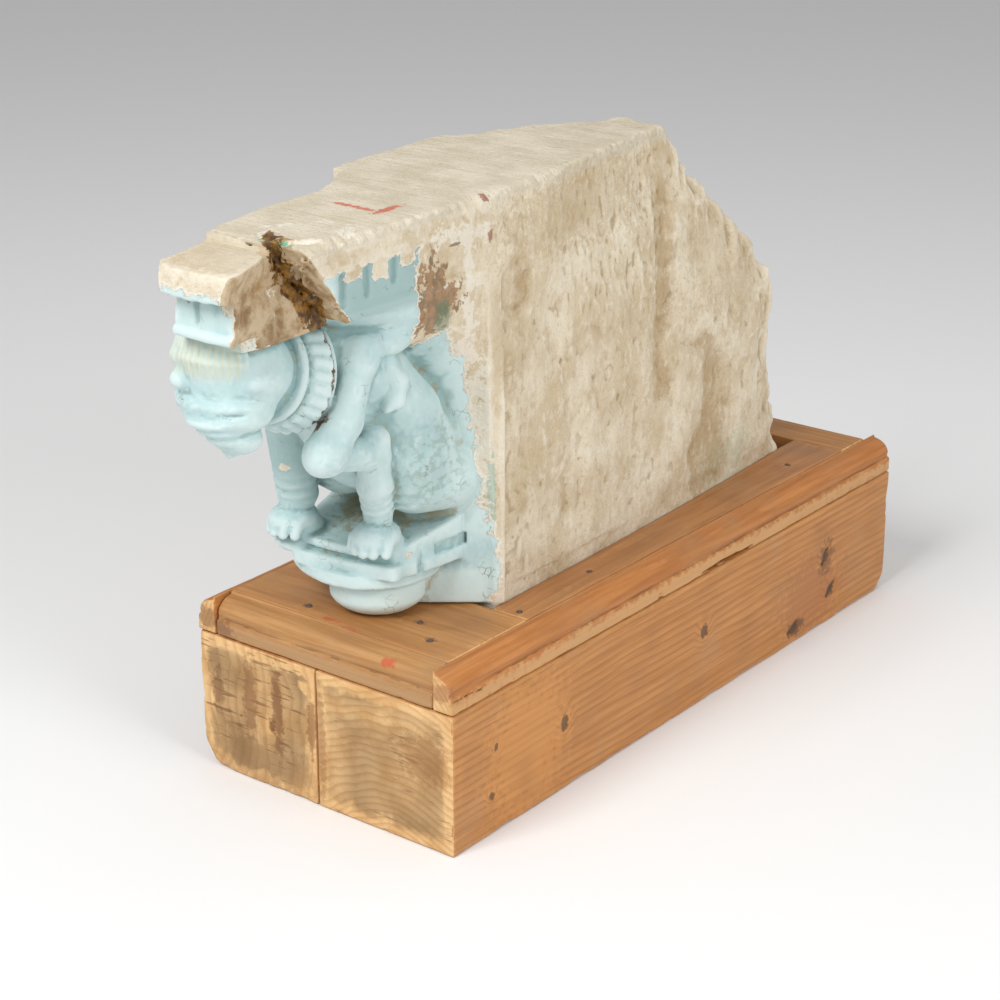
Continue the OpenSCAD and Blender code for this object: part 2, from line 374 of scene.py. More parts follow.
def side_hollows(yy, zz):
    """Depth of the right side's hollows: scoop, long groove, recess, a drilled ring and pits."""
    scoop = np.hypot((yy + 190) / 29, (zz - 434) / 30)
    depth = 3.6 * (1 - ramp(scoop, 0.55, 1.05))
    groove = trail(yy, zz, [(48, 478), (38, 420), (42, 372), (26, 318), (34, 286)])
    depth = depth + 4.6 * (1 - ramp(groove, 0, 30)) * (1 - ramp(zz, 455, 500))
    ledge = outline(yy, zz, [
        (59, 320), (92, 290), (99, 262), (94, 238), (70, 216), (76, 180), (70, 120), (158, 120),
        (160, 240), (140, 300), (110, 330),
    ])
    depth = depth + 4.8 * (1 - ramp(ledge, -22, 5))
    ring = np.abs(np.hypot(yy + 53, zz - 319) - 6)
    depth = depth + 0.9 * (1 - ramp(ring, 0.6, 2.4))
    for py, pz in SIDE_PITS:
        depth = depth + 2.4 * (1 - ramp(np.hypot(yy - py, (zz - pz) * 0.8), 0.8, 3.4))
    return depth


def side_relief(y, z):
    """Heights of the rough right side over its plane: tool strokes, hollows and a ledge."""
    strokes = noise_map(y, z, (5, 16), 11) + 0.7 * noise_map(y, z, (3.2, 8), 12)
    waves = noise_map(y, z, (64, 52), 13)
    lumps = noise_map(y, z, (24, 30), 14)
    facets = np.abs(noise_map(y, z, (21, 46), 17))
    yy, zz = y[:, None], z[None, :]
    inside = -outline(yy, zz, tail_outline())
    pitted = ramp(yy, -135, -95) * (1 - ramp(yy, 30, 60)) * ramp(zz, 340, 385)
    cleaved = np.maximum(noise_map(y, z, (31, 44), 19), -0.15)
    relief = 2.4 * waves + 1.3 * lumps - 1.6 * facets + 0.32 * strokes + 2.2 * cleaved
    relief -= pitted * (0.4 + 1.7 * np.abs(strokes) + 1.4 * np.abs(lumps))
    relief -= side_hollows(yy + 6 * lumps, zz + 5 * waves)
    # flaked band along the back edge
    flakes = noise_map(y, z, (17, 38), 15) + 0.5 * noise_map(y, z, (8, 17), 16)
    rim = 1 - ramp(inside, 2, 46)
    relief -= rim * ramp(yy, 40, 90) * (1.5 + 7.5 * np.abs(flakes))
    fitted = 1 - ramp(zz, frame_top - 2, frame_top + 14)
    quiet = ramp(yy, block_y - 20, block_y + 30)
    relief *= 0.35 + 0.65 * quiet
    return np.where(zz < frame_top + 14, np.minimum(relief * (1 - fitted), 0) - 0.4, relief)


def stone_block(clay):
    """The rough block with its tail, the broken corner and the sawn top."""
    ay, az = clay.axes[1:]
    x, y, z = clay.everywhere()
    profile = outline(ay[:, None], az[None, :], tail_outline())[None]
    back_rough = 2.6 * noise_block(clay.axes, (26, 26, 26), 21)
    back_rough = back_rough + 1.7 * np.abs(noise_block(clay.axes, (11, 11, 11), 22))
    behind = ramp(y, -150, 40) * (1 - ramp(z, top_z - 12, top_z - 3) * (1 - ramp(y, 0, 50)))
    profile = profile + back_rough * behind
    lean = 15 * ramp(ay[:, None], -190, 60) * ramp(az[None, :], 300, 515)
    right = side_x(ay)[:, None] - lean + side_relief(ay, az)
    left_rough = 1.8 * noise_map(ay, az, (40, 34), 31) + 1.2 * noise_map(ay, az, (13, 16), 32)
    left_rough = left_rough - 1.4 * np.abs(noise_map(ay, az, (5, 13), 33))
    fitted = 1 - ramp(az[None, :], frame_top - 2, frame_top + 14)
    left = side_x(ay)[:, None] - 1 - fitted + left_rough * (1 - fitted)
    d = smooth_max(profile, x - right[None], 3.0)
    d = smooth_max(d, -x - left[None], 3.0)
    # upper left corner broken away along a plane that leans out towards the foot
    gone = -0.79 * (x + 81) + 0.457 * (y + 105) + 0.407 * (z - top_z)
    d = smooth_max(d, gone + 2.2 * back_rough, 4.0)
    clay.d = d.astype(np.float32)


def cornice_outline(side, front):
    """Outline of the cornice from above, set in at its side and front; its left is broken away."""
    right = block_x - side
    return [
        (right, block_y), (right, nose_y + 12 + front), (66, nose_y + 3 + front), (30, nose_y + front),
        (-4, nose_y + 2 + front), (-10, nose_y + 12 + front), (-9, -468), (-17, -440), (-25, -408),
        (-34, -363), (-33, -331), (-34, -289), (-54, -256), (-74, block_y),
    ]


def stone_cornice(clay):
    """Slab, frieze of blocks and fillet over the lion."""
    low, high = (-84, nose_y - 8, soffit_z - 16), (84, block_y + 4, top_z + 4)
    cut, x, y, z = clay.part(low, high)
    axes = clay.axes_of(cut)
    edge = 1.1 * noise_block(axes, (7, 7, 7), 41) + 2.0 * noise_block(axes, (23, 23, 23), 42)
    u, v = x[:, :, 0], y[:, :, 0]
    broken = ramp(-x, -20, 20)
    slab2 = outline(u, v, cornice_outline(0, 0))[:, :, None] + edge * (0.75 + 1.1 * broken)
    before = 1 - ramp(y - crack_y(top_z), -1.0, 1.0)
    top = top_z - before * (NOSE_DROP + 0.05 * np.maximum(-450 - y, 0))
    under = slab_z - 5 * before + 0.9 * edge
    slab = rounded(slab2, np.maximum(z - top, under - z), 2.2)
    band2 = outline(u, v, cornice_outline(1.6, 15))[:, :, None] + edge * (0.12 + 1.5 * broken)
    band = rounded(band2, np.maximum(z - slab_z - 4, frieze_z - 2 - z), 4.0)
    fillet2 = outline(u, v, cornice_outline(0.6, 12))[:, :, None] + edge * (0.12 + 1.5 * broken)
    fillet = rounded(fillet2, np.maximum(z - frieze_z + 1, soffit_z - z), 3.0)
    d = smooth_min(slab, band, 1.0)
    d = smooth_min(d, fillet, 1.6)
    # the stretch beside the block has no frieze: its side is full down to the ground
    full2 = outline(u, v, [(79, block_y), (79, -306), (60, -316), (-60, -300), (-76, block_y)])
    full = rounded(full2[:, :, None] + 0.5 * edge, np.maximum(z - slab_z - 4, soffit_z - 8 - z), 4.0)
    d = smooth_min(d, full, 2.0)
    # rough bed that ties the broken nose to the lion's head
    bed2 = outline(u, v, [(49, -385), (50, -440), (44, -470), (8, -474), (-12, -440), (-20, -385)])
    bed = rounded(bed2[:, :, None] + 0.6 * edge, np.maximum(z - slab_z, 437 - z), 3.0)
    d = smooth_min(d, bed, 1.5)
    clay.d[cut] = smooth_min(clay.d[cut], d, 2.0)
    # grooves between the frieze's blocks
    for gy, z0, z1 in ((-398, 460, 488), (-371, 463, 489), (-340, 467, 487)):
        clay.cut((58, gy - 9, z0 - 7), (86, gy + 9, z1 + 7), upright_groove((78, gy), z0, z1, 3.4), 1.4)
    clay.cut((4, nose_y - 4, 446), (34, nose_y + 36, 494),
             upright_groove((19, nose_y + 13), frieze_z, slab_z - 3, 4.6), 2.6)
    clay.dent((-14, nose_y + 12, 470), (7, 9, 17), 3.0)


def upright_groove(centre, z0, z1, radius):
    """A short upright round-bottomed groove."""
    return limb((centre[0], centre[1], z0 + radius), (centre[0], centre[1], z1 - radius), radius, radius)


def corner_faces(x, y, z):
    """Distances to the two faces of the cornice's broken corner: the nose's and the rear one."""
    nearer = np.clip(-433 - y, 0, 56)
    face = 47 + 0.39 * nearer - 0.24 * (507 - z) * ramp(-y, 433, 482) - 5 * np.exp(-((z - 486) / 16) ** 2)
    rear = -441 + 0.74 * (top_z - z)
    return (face - x) * 0.9, (y - rear) * 0.8


def corner_gone(x, y, z):
    """Distance to what is broken from the cornice's right front corner, negative where it is gone."""
    return np.maximum(*corner_faces(x, y, z))


def stone_corner_break(clay):
    """Slanting break where the cornice's right front corner is gone, with a deep cleft at its back."""
    cut, x, y, z = clay.part((30, nose_y - 8, 430), (84, -376, top_z + 4))
    axes = clay.axes_of(cut)
    rough = 1.5 * noise_block(axes, (15, 15, 15), 51) + 0.8 * noise_block(axes, (5, 5, 5), 52)
    clay.d[cut] = smooth_max(clay.d[cut], -(corner_gone(x, y, z) + rough), 1.0)
    for place, radii, turn in CLEFT:
        clay.dent(place, radii, 2.0, turn)


def stone_ground(clay):
    """Splayed ground behind the lion, coming out in a cove under the cornice."""
    low, high = (-84, -420, pad_z - 6), (84, block_y + 6, soffit_z + 8)
    cut, x, y, z = clay.part(low, high)
    splay = np.maximum(block_x - 1 + (y - block_y) * 1.3, 14 - 0.25 * np.maximum(-250 - y, 0))
    rise = ramp(z, 318 - 0.62 * (y + 250), 412 - 0.42 * (y + 250))
    reach = 79 - 6 * ramp(-y, 320, 390)
    half = splay + (reach - splay) * rise ** 1.4
    wall = (np.abs(x) - half) * 0.75
    front = np.where(z < 400, -262 - y, -352 - y) - 34 * ramp(z, 330, 430)
    shape = rounded(np.maximum(wall, front * 0.8), np.maximum(pad_z - z, z - soffit_z - 4), 2.0)
    clay.d[cut] = smooth_min(clay.d[cut], shape, 6.0)


def stone_stand(clay):
    """Round pad and disc, and the stepped slab the lion stands on."""
    cut, x, y, z = clay.part((-84, -356, pad_z - 6), (84, block_y + 4, stand_z + 26))
    axes = clay.axes_of(cut)
    uneven = 0.8 * noise_block(axes, (17, 17, 17), 43) + 0.35 * noise_block(axes, (7, 7, 7), 44)
    ring = np.hypot(x, y - stand_y)
    pad = rounded(ring - 41 + 6 * ramp(-z, -pad_z - 14, -pad_z), np.maximum(pad_z - z, z - disc_z - 2), 10)
    plate = np.hypot((x + 8) * np.where(x < -8, 0.8, 1.0), y + 272) - 58
    disc = rounded(plate + uneven, np.maximum(disc_z - z, z - step_z - 1), 4.0)
    plan = outline(x[:, :, 0], y[:, :, 0], [
        (-43, -322), (-10, -319), (20, -313), (43, -305), (51, -284), (60, block_y + 2),
        (-76, block_y + 2), (-74, -236), (-64, -286),
    ])[:, :, None] + uneven
    rise = 3 + 20 * np.clip((y + 312) / 94, 0, 1)
    step = rounded(plan, np.maximum(step_z - 1 - z, z - stand_z - rise), 2.6)
    ledge = rounded(plan - 1.5 - 5 * ramp(-y, 296, 310), np.maximum(step_z - 2 - z, z - step_z - 11), 2.0)
    d = smooth_min(smooth_min(pad, disc, 2.5), smooth_min(step, ledge, 1.2), 1.6)
    clay.d[cut] = smooth_min(clay.d[cut], d, 3.0)
    # sunk panel with a raised border on the near side of the stepped slab
    turn = math.radians(81.6)
    across = (x - 56) * math.cos(turn) + (y + 245) * math.sin(turn)
    off = (x - 56) * math.sin(turn) - (y + 245) * math.cos(turn)
    level = np.abs(z - stand_z + 3 - 0.06 * across)
    panel = np.maximum(np.maximum(np.abs(across) - 20, level - 5.0), np.abs(off) - 1.4)
    clay.d[cut] = smooth_max(clay.d[cut], -panel, 1.2)
    # line between the slab's two tiers, and the notch behind its corner
    line = np.maximum(np.abs(z - step_z - 12.5 + 0.04 * x) - 0.9, np.abs(plan + 0.5) - 2.0)
    clay.d[cut] = smooth_max(clay.d[cut], -np.where(x < 12, line, FAR), 0.8)
    clay.cut((40, -294, 200), (64, -270, stand_z + 20), limb((53, -282, 206), (55, -282, 240), 4, 4), 2.5)
    # ledge under the far foot, and a spall at the far end
    clay.egg((-55, -318, stand_z - 6), (17, 13, 7), 4)
    clay.dent((-62, -300, step_z - 2), (9, 10, 5), 2.0)


def stone_lion(clay):
    """Body, forelegs, feet, collar and head."""
    for s in (-1, 1):
        clay.limb((s * 30, -342, 404), (s * 32, -312, 380), 22, 26, 8)
        clay.limb((s * 32, -312, 380), (s * 33, -276, 338), 26, 29, 8)
        clay.egg((s * 33, -270, 302), (33, 42, 46), 8)
        clay.egg((s * 38, -262, 272), (27, 36, 21), 8)
        clay.egg((s * 44, -242, 274), (24, 26, 24), 12)
    clay.limb((0, -346, 392), (0, -286, 316), 44, 46, 8)
    # shoulder blade: a pale crescent with a hollow before it
    clay.dent((66, -337, 381), (9, 12, 24), 7, 0)
    clay.limb((56, -320, 392), (59, -313, 379), 2.5, 4.5, 8)
    clay.limb((59, -313, 379), (59, -317, 364), 4.5, 4.5, 8)
    clay.limb((59, -317, 364), (55, -324, 357), 4.5, 2.5, 9)
    # boss under the frieze
    clay.egg((61, -317, 419), (8, 19, 15), 14)
    clay.limb((48, -345, 413), (57, -327, 416), 9, 8, 9)
    lion_leg(clay, 1)
    lion_leg(clay, -1)
    lion_neck(clay)
    lion_head(clay)


def lion_leg(clay, s):
    """Foreleg on side s: upper arm, elbow, shin and foot with its toes."""
    if s > 0:
        clay.egg((48, -346, 402), (13, 15, 14), 7)
        clay.limb((46, -348, 398), (46, -366, 358), 14, 15.5, 5)
        clay.limb((46, -366, 358), (46, -385, 338), 15.5, 16.5, 5)
        clay.egg((47, -389, 336), (16, 19, 17), 5)
        clay.limb((46, -384, 334), (43, -338, 322), 13, 13.5, 5)
        clay.limb((43, -327, 330), (38, -321, 290), 13.5, 14, 4)
        clay.limb((38, -321, 290), (29, -307, 258), 13.8, 12.0, 4)
        ankle, toe_turn, thin = (29, -306, 258), 6, 12.0
    else:
        clay.limb((-42, -342, 400), (-45, -330, 340), 23, 21, 8)
        clay.limb((-45, -330, 340), (-50, -316, 262), 21, 17.0, 5)
        ankle, toe_turn, thin = (-51, -316, 256), -12, 17.0
    ax, ay, az = ankle
    # soft folds of skin down the leg, one over the other
    cut, x, y, z = clay.part((ax - 28, ay - 32, az - 4), (ax + 28, ay + 32, az + 40))
    fold = np.sin((z - az - 0.3 * (y - ay) + 0.12 * (x - ax)) * 0.62)
    around = np.hypot(x - ax, y - ay) < thin + 12
    along = ramp(z, az - 2, az + 6) * (1 - ramp(z, az + 18, az + 40))
    clay.d[cut] -= np.where(around, 0.75 * fold * along, 0).astype(np.float32)
    c, sn = math.cos(math.radians(toe_turn)), math.sin(math.radians(toe_turn))

    def ahead(across, forward, z):
        return (ax + c * across + sn * forward, ay + sn * across - c * forward, z)

    sole = stand_z + 4
    clay.egg(ahead(0, 4, sole + 13), (19, 22, 13), 5, toe_turn)
    clay.egg(ahead(0, -6, sole + 5), (16, 17, 9), 4, toe_turn)
    for i in range(5):
        across = (i - 2) * 8.0
        forward = 20 - 2.0 * (i - 2) ** 2
        top = ahead(across * 0.9, forward - 8, sole + 16)
        middle = ahead(across, forward, sole + 11)
        tip = ahead(across * 1.05, forward + 3, sole + 4)
        clay.limb(top, middle, 4.6, 4.9, 2.4)
        clay.limb(middle, tip, 4.9, 4.3, 1.6)


def lion_neck(clay):
    """Ribbed collar that narrows forwards, and the smooth band before it."""
    cut, x, y, z = clay.part((-66, -424, 320), (66, -352, 460))
    along = y - 0.24 * (z - 394)
    middle = np.interp(y, (-412, -399, -377), (402, 400, 390))
    size = np.interp(along, (-412, -408, -399, -377, -370), (38, 40, 45.5, 52, 52.5))
    ring = np.hypot(x, z - middle)
    turn = np.arctan2(z - middle, x)
    rib = np.abs(np.sin(turn * 13 + 0.3)) ** 0.45
    ruff = rounded(ring - size - 1.2 + 4.0 * (1 - rib), np.abs(along + 388.0) - 9.8, 3.0)
    band = rounded(ring - 43.5, np.abs(along + 403.0) - 4.2, 4.0)
    core = rounded(ring - size + 5, np.abs(along + 392) - 22, 4.0)
    d = smooth_min(smooth_min(ruff, band, 1.0), core, 1.5)
    clay.d[cut] = smooth_min(clay.d[cut], d, 1.0)


def lion_head(clay):
    """Worn head bent low: brow under strands of mane, cheek, lips in folds and a pointed chin."""
    clay.egg((2, -435, 409), (44, 43, 34), 3)
    clay.egg((5, -443, 424), (39, 36, 20), 6)
    clay.egg((0, -444, 390), (41, 36, 20), 4)
    clay.egg((4, -446, 380), (36, 31, 17), 5)
    # cheek bump before the band, and knobs on the far side of the muzzle
    clay.egg((38, -446, 411), (11, 15, 10), 7)
    clay.egg((-19, -471, 426), (8, 8, 8), 6)
    clay.egg((-16, -475, 408), (8, 8, 8), 6)
    # lips, one fold under the other, and the chin
    clay.egg((5, -462, 377), (24, 19, 8), 2.5, 8)
    clay.egg((8, -458, 370), (21, 18, 6.5), 1.8, 8)
    clay.egg((10, -452, 363), (19, 18, 8), 2.5, 8)
    clay.egg((12, -446, 360), (20, 17, 13), 5)
    clay.limb((11, -449, 358), (9, -452, 348), 9, 4, 5)
    # the brow's strands of mane, fine and close, running up under the fillet
    for i in range(14):
        turn = math.radians(-40 + i * 7.4)
        dx, dy = math.sin(turn), -math.cos(turn)
        foot = 413 + 3.0 * math.sin(i * 2.1)
        low = (2 + 41.6 * dx, -438 + 40.0 * dy, foot)
        middle = (2 + 43.6 * dx, -438 + 41.8 * dy, 427)
        high = (2 + 38 * dx, -438 + 36 * dy, 444)
        clay.limb(low, middle, 1.4, 2.5, 2.0)
        clay.limb(middle, high, 2.5, 2.4, 1.3)
    # creases: cheek fold and the lip line
    for a, b, r in (
        ((20, -480, 408), (34, -475, 405), 1.4), ((34, -475, 405), (48, -450, 399), 2.0),
        ((-4, -482, 388), (18, -478, 385), 1.0), ((18, -478, 385), (36, -462, 386), 1.4),
    ):
        low, high = np.minimum(a, b) - 6, np.maximum(a, b) + 6
        clay.cut(low, high, limb(a, b, r, r), 2.4)


def stone_crack(clay):
    """The crack that lets the nose go: fine over the top, open behind the collar."""
    cut, x, y, z = clay.part((-84, -470, 340), (84, -350, top_z + 4))
    waver = 2.0 * noise_map(clay.axes[0][cut[0]], clay.axes[2][cut[2]], (18, 18), 61)[:, None, :]
    above = ramp(z, 470, 505)
    place = crack_y(z) + waver * (0.4 + 0.9 * above) + 0.11 * np.maximum(24 - x, 0) * above
    ring = np.hypot(x, z - collar_z) - 52 - 12 * ramp(z, 366, 380)
    behind = np.where(z < 440, np.maximum(ring, 352 - z), -1)
    width = np.where(z < 440, 2.0, 0.85)
    depth = -clay.d[cut] - np.where(z < 440, 16, 10)
    slot = np.maximum(np.maximum(np.abs(y - place) - width, depth), behind)
    clay.d[cut] = smooth_max(clay.d[cut], -slot, 0.5)


def stone_wear(clay):
    """Grain and small knocks over everything, rough on broken faces, faint on paint."""
    x, y, z = clay.everywhere()
    fine = noise_block(clay.axes, (3.4, 3.4, 3.4), 71) + 0.7 * noise_block(clay.axes, (8, 8, 8), 72)
    painted = (y < block_y - 2) & (z < slab_z)
    rough = np.where(painted, 0.13, 0.42) * (1 - 0.7 * ramp(z, top_z - 5, top_z - 2))
    clay.d += fine * rough
    # ragged fur strokes over the haunch
    cut, _, along, up = clay.part((30, -352, 254), (84, -226, 420))
    strokes = noise_block(clay.axes_of(cut), (60, 4.2, 9.0), 74)
    haunch = 1 - ramp(np.hypot((along + 285) / 34, (up - 300) / 40), 0.75, 1.15)
    clay.d[cut] += 1.9 * strokes * haunch
    # knocks along the top arris
    chips = noise_map(clay.axes[1], clay.axes[0], (11, 200), 73)[:, 0][None, :, None]
    large = noise_map(clay.axes[1], clay.axes[0], (37, 200), 75)[:, 0][None, :, None]
    arris = (x - side_x(clay.axes[1])[None, :, None] + (z - top_z)) * 0.707
    arris = arris + 3.0 - 2.4 * np.abs(chips) + 2.6 * np.maximum(large, 0)
    clay.d = smooth_max(clay.d, arris + np.where(y < -445, -30.0, 0), 1.5).astype(np.float32)


def stone_top(clay):
    """Relief of the sawn top: a thin raised flake by the crack, and the lines of the saw."""
    cut, x, y, z = clay.part((-84, -460, top_z - 10), (84, 80, top_z + 4))
    u, v = x[:, :, 0], y[:, :, 0]
    lifted = outline(u, v, FLAKE)[:, :, None]
    flake = rounded(lifted, np.abs(z - top_z) - 2.2, 1.0)
    clay.d[cut] = smooth_min(clay.d[cut], flake, 0.6)
    saw = np.sin((y * 0.79 - x * 0.61) * 1.15)
    clay.d[cut] += 0.22 * saw * ramp(z, top_z - 3, top_z - 1)


def carve_stone():
    """The whole stone, from the rough block to the wear on it."""
    clay = Clay((-85, nose_y - 12, 124), (85, tail_y + 6, top_z + 6), STONE_STEP)
    for stage in (stone_block, stone_cornice, stone_ground, stone_corner_break, stone_stand, stone_lion,
                  stone_top, stone_crack, stone_wear):
        stage(clay)
    return clay


def stone_piece():
    clay = carve_stone()
    piece = clay.mesh("stone_lion_corbel", STONE_TRIANGLES)
    points = places_of(piece.data)
    x, y, z = points.T
    give_mask(piece, "hollow", clay.sample(clay.hollows(7.5), points))
    stone_masks(piece, x, y, z)
    return piece


# places where the paint has chipped off to the stone, and their radii
CHIPS = (
    ((-41, -343, 289), 7.5), ((47, -291, 223), 5.0), ((-6, -494, 479), 8.0), ((52, -492, 478), 9.0),
    ((24, -492, 481), 5.0), ((50, -474, 445), 11.0), ((44, -452, 443), 9.0),
)


def stone_masks(piece, x, y, z):
    """Where the paint, the sawn top, the breaks, the plaster and the stains are, in millimetres, and where
    painted shade and painted light darken and brighten the paint.
    """
    # paint: inside is positive. It covers the front, up to a strip along the block's arris
    edge = np.interp(z, (168, 184, 220, 256, 290, 324, 361, 379, 396),
                     (-222, -216, -219, -226, -228, -230, -238, -243, -258))
    paint = np.minimum(edge - y, slab_z + 1 - z)
    bare = outline(y, z, [
        (-306, 520), (-200, 520), (-200, 376), (-238, 376), (-255, 387), (-277, 417), (-294, 393),
        (-309, 407), (-316, 459), (-312, 480),
    ])
    paint = np.where(x > 45, np.minimum(paint, bare), paint)
    # tan strips flaked bare between the frieze's grooves
    strips = np.full_like(x, 30.0)
    for sy, depth in ((-385, 8), (-356, 13), (-324, 9)):
        strips = np.minimum(strips, np.maximum(np.abs(y - sy) - 9, slab_z - depth - z) * 1.5)
    paint = np.where(x > 66, np.minimum(paint, strips), paint)
    nose_face, rear_face = corner_faces(x, y, z)
    gone = np.maximum(nose_face, rear_face)
    near_break = (x > 24) & (z > 436) & (y < -376) & (gone < 20)
    cleft = np.abs(nose_face - rear_face) - 4 * ramp(-z, -500, -450)
    on_break = np.where(near_break, np.minimum((gone - 2.6) * 3, cleft - 10 + 0.3 * gone), 30.0)
    for (dx, dy, dz), _, _ in CLEFT:
        in_cleft = np.sqrt((x - dx) ** 2 + (y - dy) ** 2 + (z - dz) ** 2) < 15
        on_break = np.where(in_cleft & near_break, -8.0, on_break)
    paint = np.minimum(paint, on_break)
    left_break = -30 - x - 0.3 * (y + 350)
    paint = np.where((x < -20) & (z > soffit_z - 10), np.minimum(paint, -left_break), paint)
    for place, radius in CHIPS:
        away = np.sqrt((x - place[0]) ** 2 + (y - place[1]) ** 2 + (z - place[2]) ** 2)
        paint = np.minimum(paint, (away - radius) * 1.6 + 2)
    give_mask(piece, "paint", np.clip(paint, -30, 30))
    give_mask(piece, "fresh", np.clip(-on_break, -10, 10))
    give_mask(piece, "sawn", ramp(z, top_z - 10, top_z - 4))
    give_mask(piece, "resin", np.clip(np.where(near_break, 9 - cleft, -30), -30, 30))
    # cream plaster: beside the paint, along the upper side strip, and on the flake's rim
    front = block_y - 16 * (z - frame_top) / (top_z - frame_top)
    beside = np.where((x > 45) & (y < front + 1.5) & (z < slab_z), 8 - np.abs(y - edge - 5), -30)
    upper = np.where((x > 60) & (y > -300) & (y < -225), 7 - np.abs(z - 488 + 0.1 * (y + 260)), -30)
    rim = np.where(z > top_z - 5, 3.5 - np.abs(outline(x, y, FLAKE)), -30)
    give_mask(piece, "plaster", np.clip(np.maximum(np.maximum(beside, upper), rim), -20, 20))
    stain = np.maximum(
        18 - np.hypot((y + 296) * 0.9, (z - 446) * 0.6), 14 - np.hypot((y + 280) * 0.8, (z - 440) * 0.9))
    give_mask(piece, "stain", np.clip(np.where(x > 60, stain, -20), -20, 20))
    dirt = np.where(z < stand_z + 24, 24 - np.hypot(x + 10, y + 248) * 0.55, -20)
    olive = 11 - np.sqrt((x - 62) ** 2 + ((y + 384) / 1.5) ** 2 + (z - 424) ** 2)
    give_mask(piece, "dirt", np.clip(np.maximum(dirt, olive), -20, 20))
    ring = np.hypot(x, z - collar_z)
    rust = 3.4 - np.abs(y - crack_y(z))
    rust = np.where((z < 440) & (z > 350) & (ring < 57) & (ring > 36), rust, -20)
    give_mask(piece, "rust", np.clip(rust, -20, 20))
    # worn paint between the brow's strands
    turn = np.arctan2(x - 1, -y - 440)
    strands = np.cos((turn - math.radians(-40)) * 2 * math.pi / math.radians(7.4))
    brow = ramp(z, 409, 420) * (1 - ramp(z, 442, 448)) * ramp(-y, 458, 468)
    brow = brow * (1 - ramp(np.abs(x - 8), 30, 42))
    # painted shade: the paint is darkened on the frieze under the slab's overhang, where it is also dirtier,
    # and on the far leg in the head's shadow; it is also darker on the haunch
    frieze_shade_and_dirt = ramp(x, 64, 72) * ramp(z, 440, 452) * ramp(y, -410, -400)
    far_leg_shadow = (1 - ramp(x, -34, -18)) * (1 - ramp(z, 350, 400)) * ramp(z, 240, 300) * 0.6
    furred = 1 - ramp(np.hypot((y + 272) / 40, (z - 300) / 48), 0.5, 1.1)
    shade = np.maximum(np.maximum(frieze_shade_and_dirt * 0.75, far_leg_shadow), 0.35 * furred * ramp(x, 30, 45))
    give_mask(piece, "shade", shade)
    # painted light: the paint under the disc and on the splayed wall beside the haunch is made paler, as if
    # lit from the front
    below = ramp(-z, -disc_z - 1, -disc_z + 2) * ramp(-y, -block_y + 2, -block_y + 6)
    splay = ramp(x, 48, 58) * ramp(y, -272, -252) * (1 - ramp(z, 400, 450)) * ramp(z, 215, 235)
    give_mask(piece, "pale", np.maximum(below * 0.75, splay * 0.55))
    give_mask(piece, "fur", furred * ramp(x, 30, 45) * ramp(z, 246, 262))
    give_mask(piece, "brow", brow * (0.62 - 0.38 * strands))
    give_mask(piece, "sunk", np.where(x > 40, side_hollows(y, z) * ramp(y, block_y, block_y + 30), 0))


# ---------------------------------------------------------------- the timbers

def nail_places():
    """Middle of each nail's head, read from the CAD nails."""
    points = places_of(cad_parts["frame_nails"].data)
    spots = []
    while len(points):
        near = np.hypot(*(points[:, :2] - points[0, :2]).T) < 10
        spots.append(tuple(points[near, :2].mean(axis=0)))
        points = points[~near]
    return sorted(spots)


nails = nail_places()
BEAM_STEP = 2.2
BOARD_STEP = 1.4
MOULDING_STEP = 1.3
# knots on the right side: place along Y and Z, half sizes, depth
KNOTS = (
    (-199, 61, 5.5, 8.5, 1.4), (15, 69, 6.0, 8.0, 1.6), (-293, 77, 2.5, 4.0, 0.9),
    (-299, 35, 3.5, 3.5, 1.2), (175, 15, 8.0, 5.0, 2.2), (243, 33, 7.0, 6.0, 2.4), (229, 72, 5.0, 6.0, 2.0),
)
# torn places round the big knots at the back
TORN = ((168, 12), (180, 20), (238, 28), (249, 38), (226, 66), (233, 78))


def worn_box(low, high, radius):
    """A shape function for a box whose edges are worn round by a varying radius."""
    middle, half = np.add(low, high) / 2, np.subtract(high, low) / 2

    def shape(x, y, z):
        qx, qy, qz = (np.abs(v - m) - h for v, m, h in zip((x, y, z), middle, half))
        px, py, pz = (np.maximum(q + radius, 0) for q in (qx, qy, qz))
        inside = np.minimum(np.maximum(np.maximum(qx, qy), qz) + radius, 0)
        return np.sqrt(px * px + py * py + pz * pz) + inside - radius
    return shape


def timber_clay(low, high, step, wear, seed):
    """A length of timber as clay: worn edges, slightly hollow and wavy faces."""
    low, high = np.array(low, float), np.array(high, float)
    room = 3.5 * step
    clay = Clay(low - room, high + room, step)
    worn = noise_block(clay.axes, (26, 26, 26), seed)
    fine = noise_block(clay.axes, (8, 8, 8), seed + 1)
    radius = wear * (1 + 0.55 * worn) + 1.1 * wear * np.maximum(fine - 0.35, 0)
    x, y, z = clay.everywhere()
    if low[2] < 1:
        # the two timbers of the base keep a sharp edge where they meet
        radius = radius * (0.15 + 0.85 * ramp(np.abs(x - beam_joint), 3, 22))
    d = worn_box(low, high, np.maximum(radius, 0.4))(x, y, z)
    clay.d = (d + 0.25 + 0.3 * worn + 0.12 * fine).astype(np.float32)
    return clay


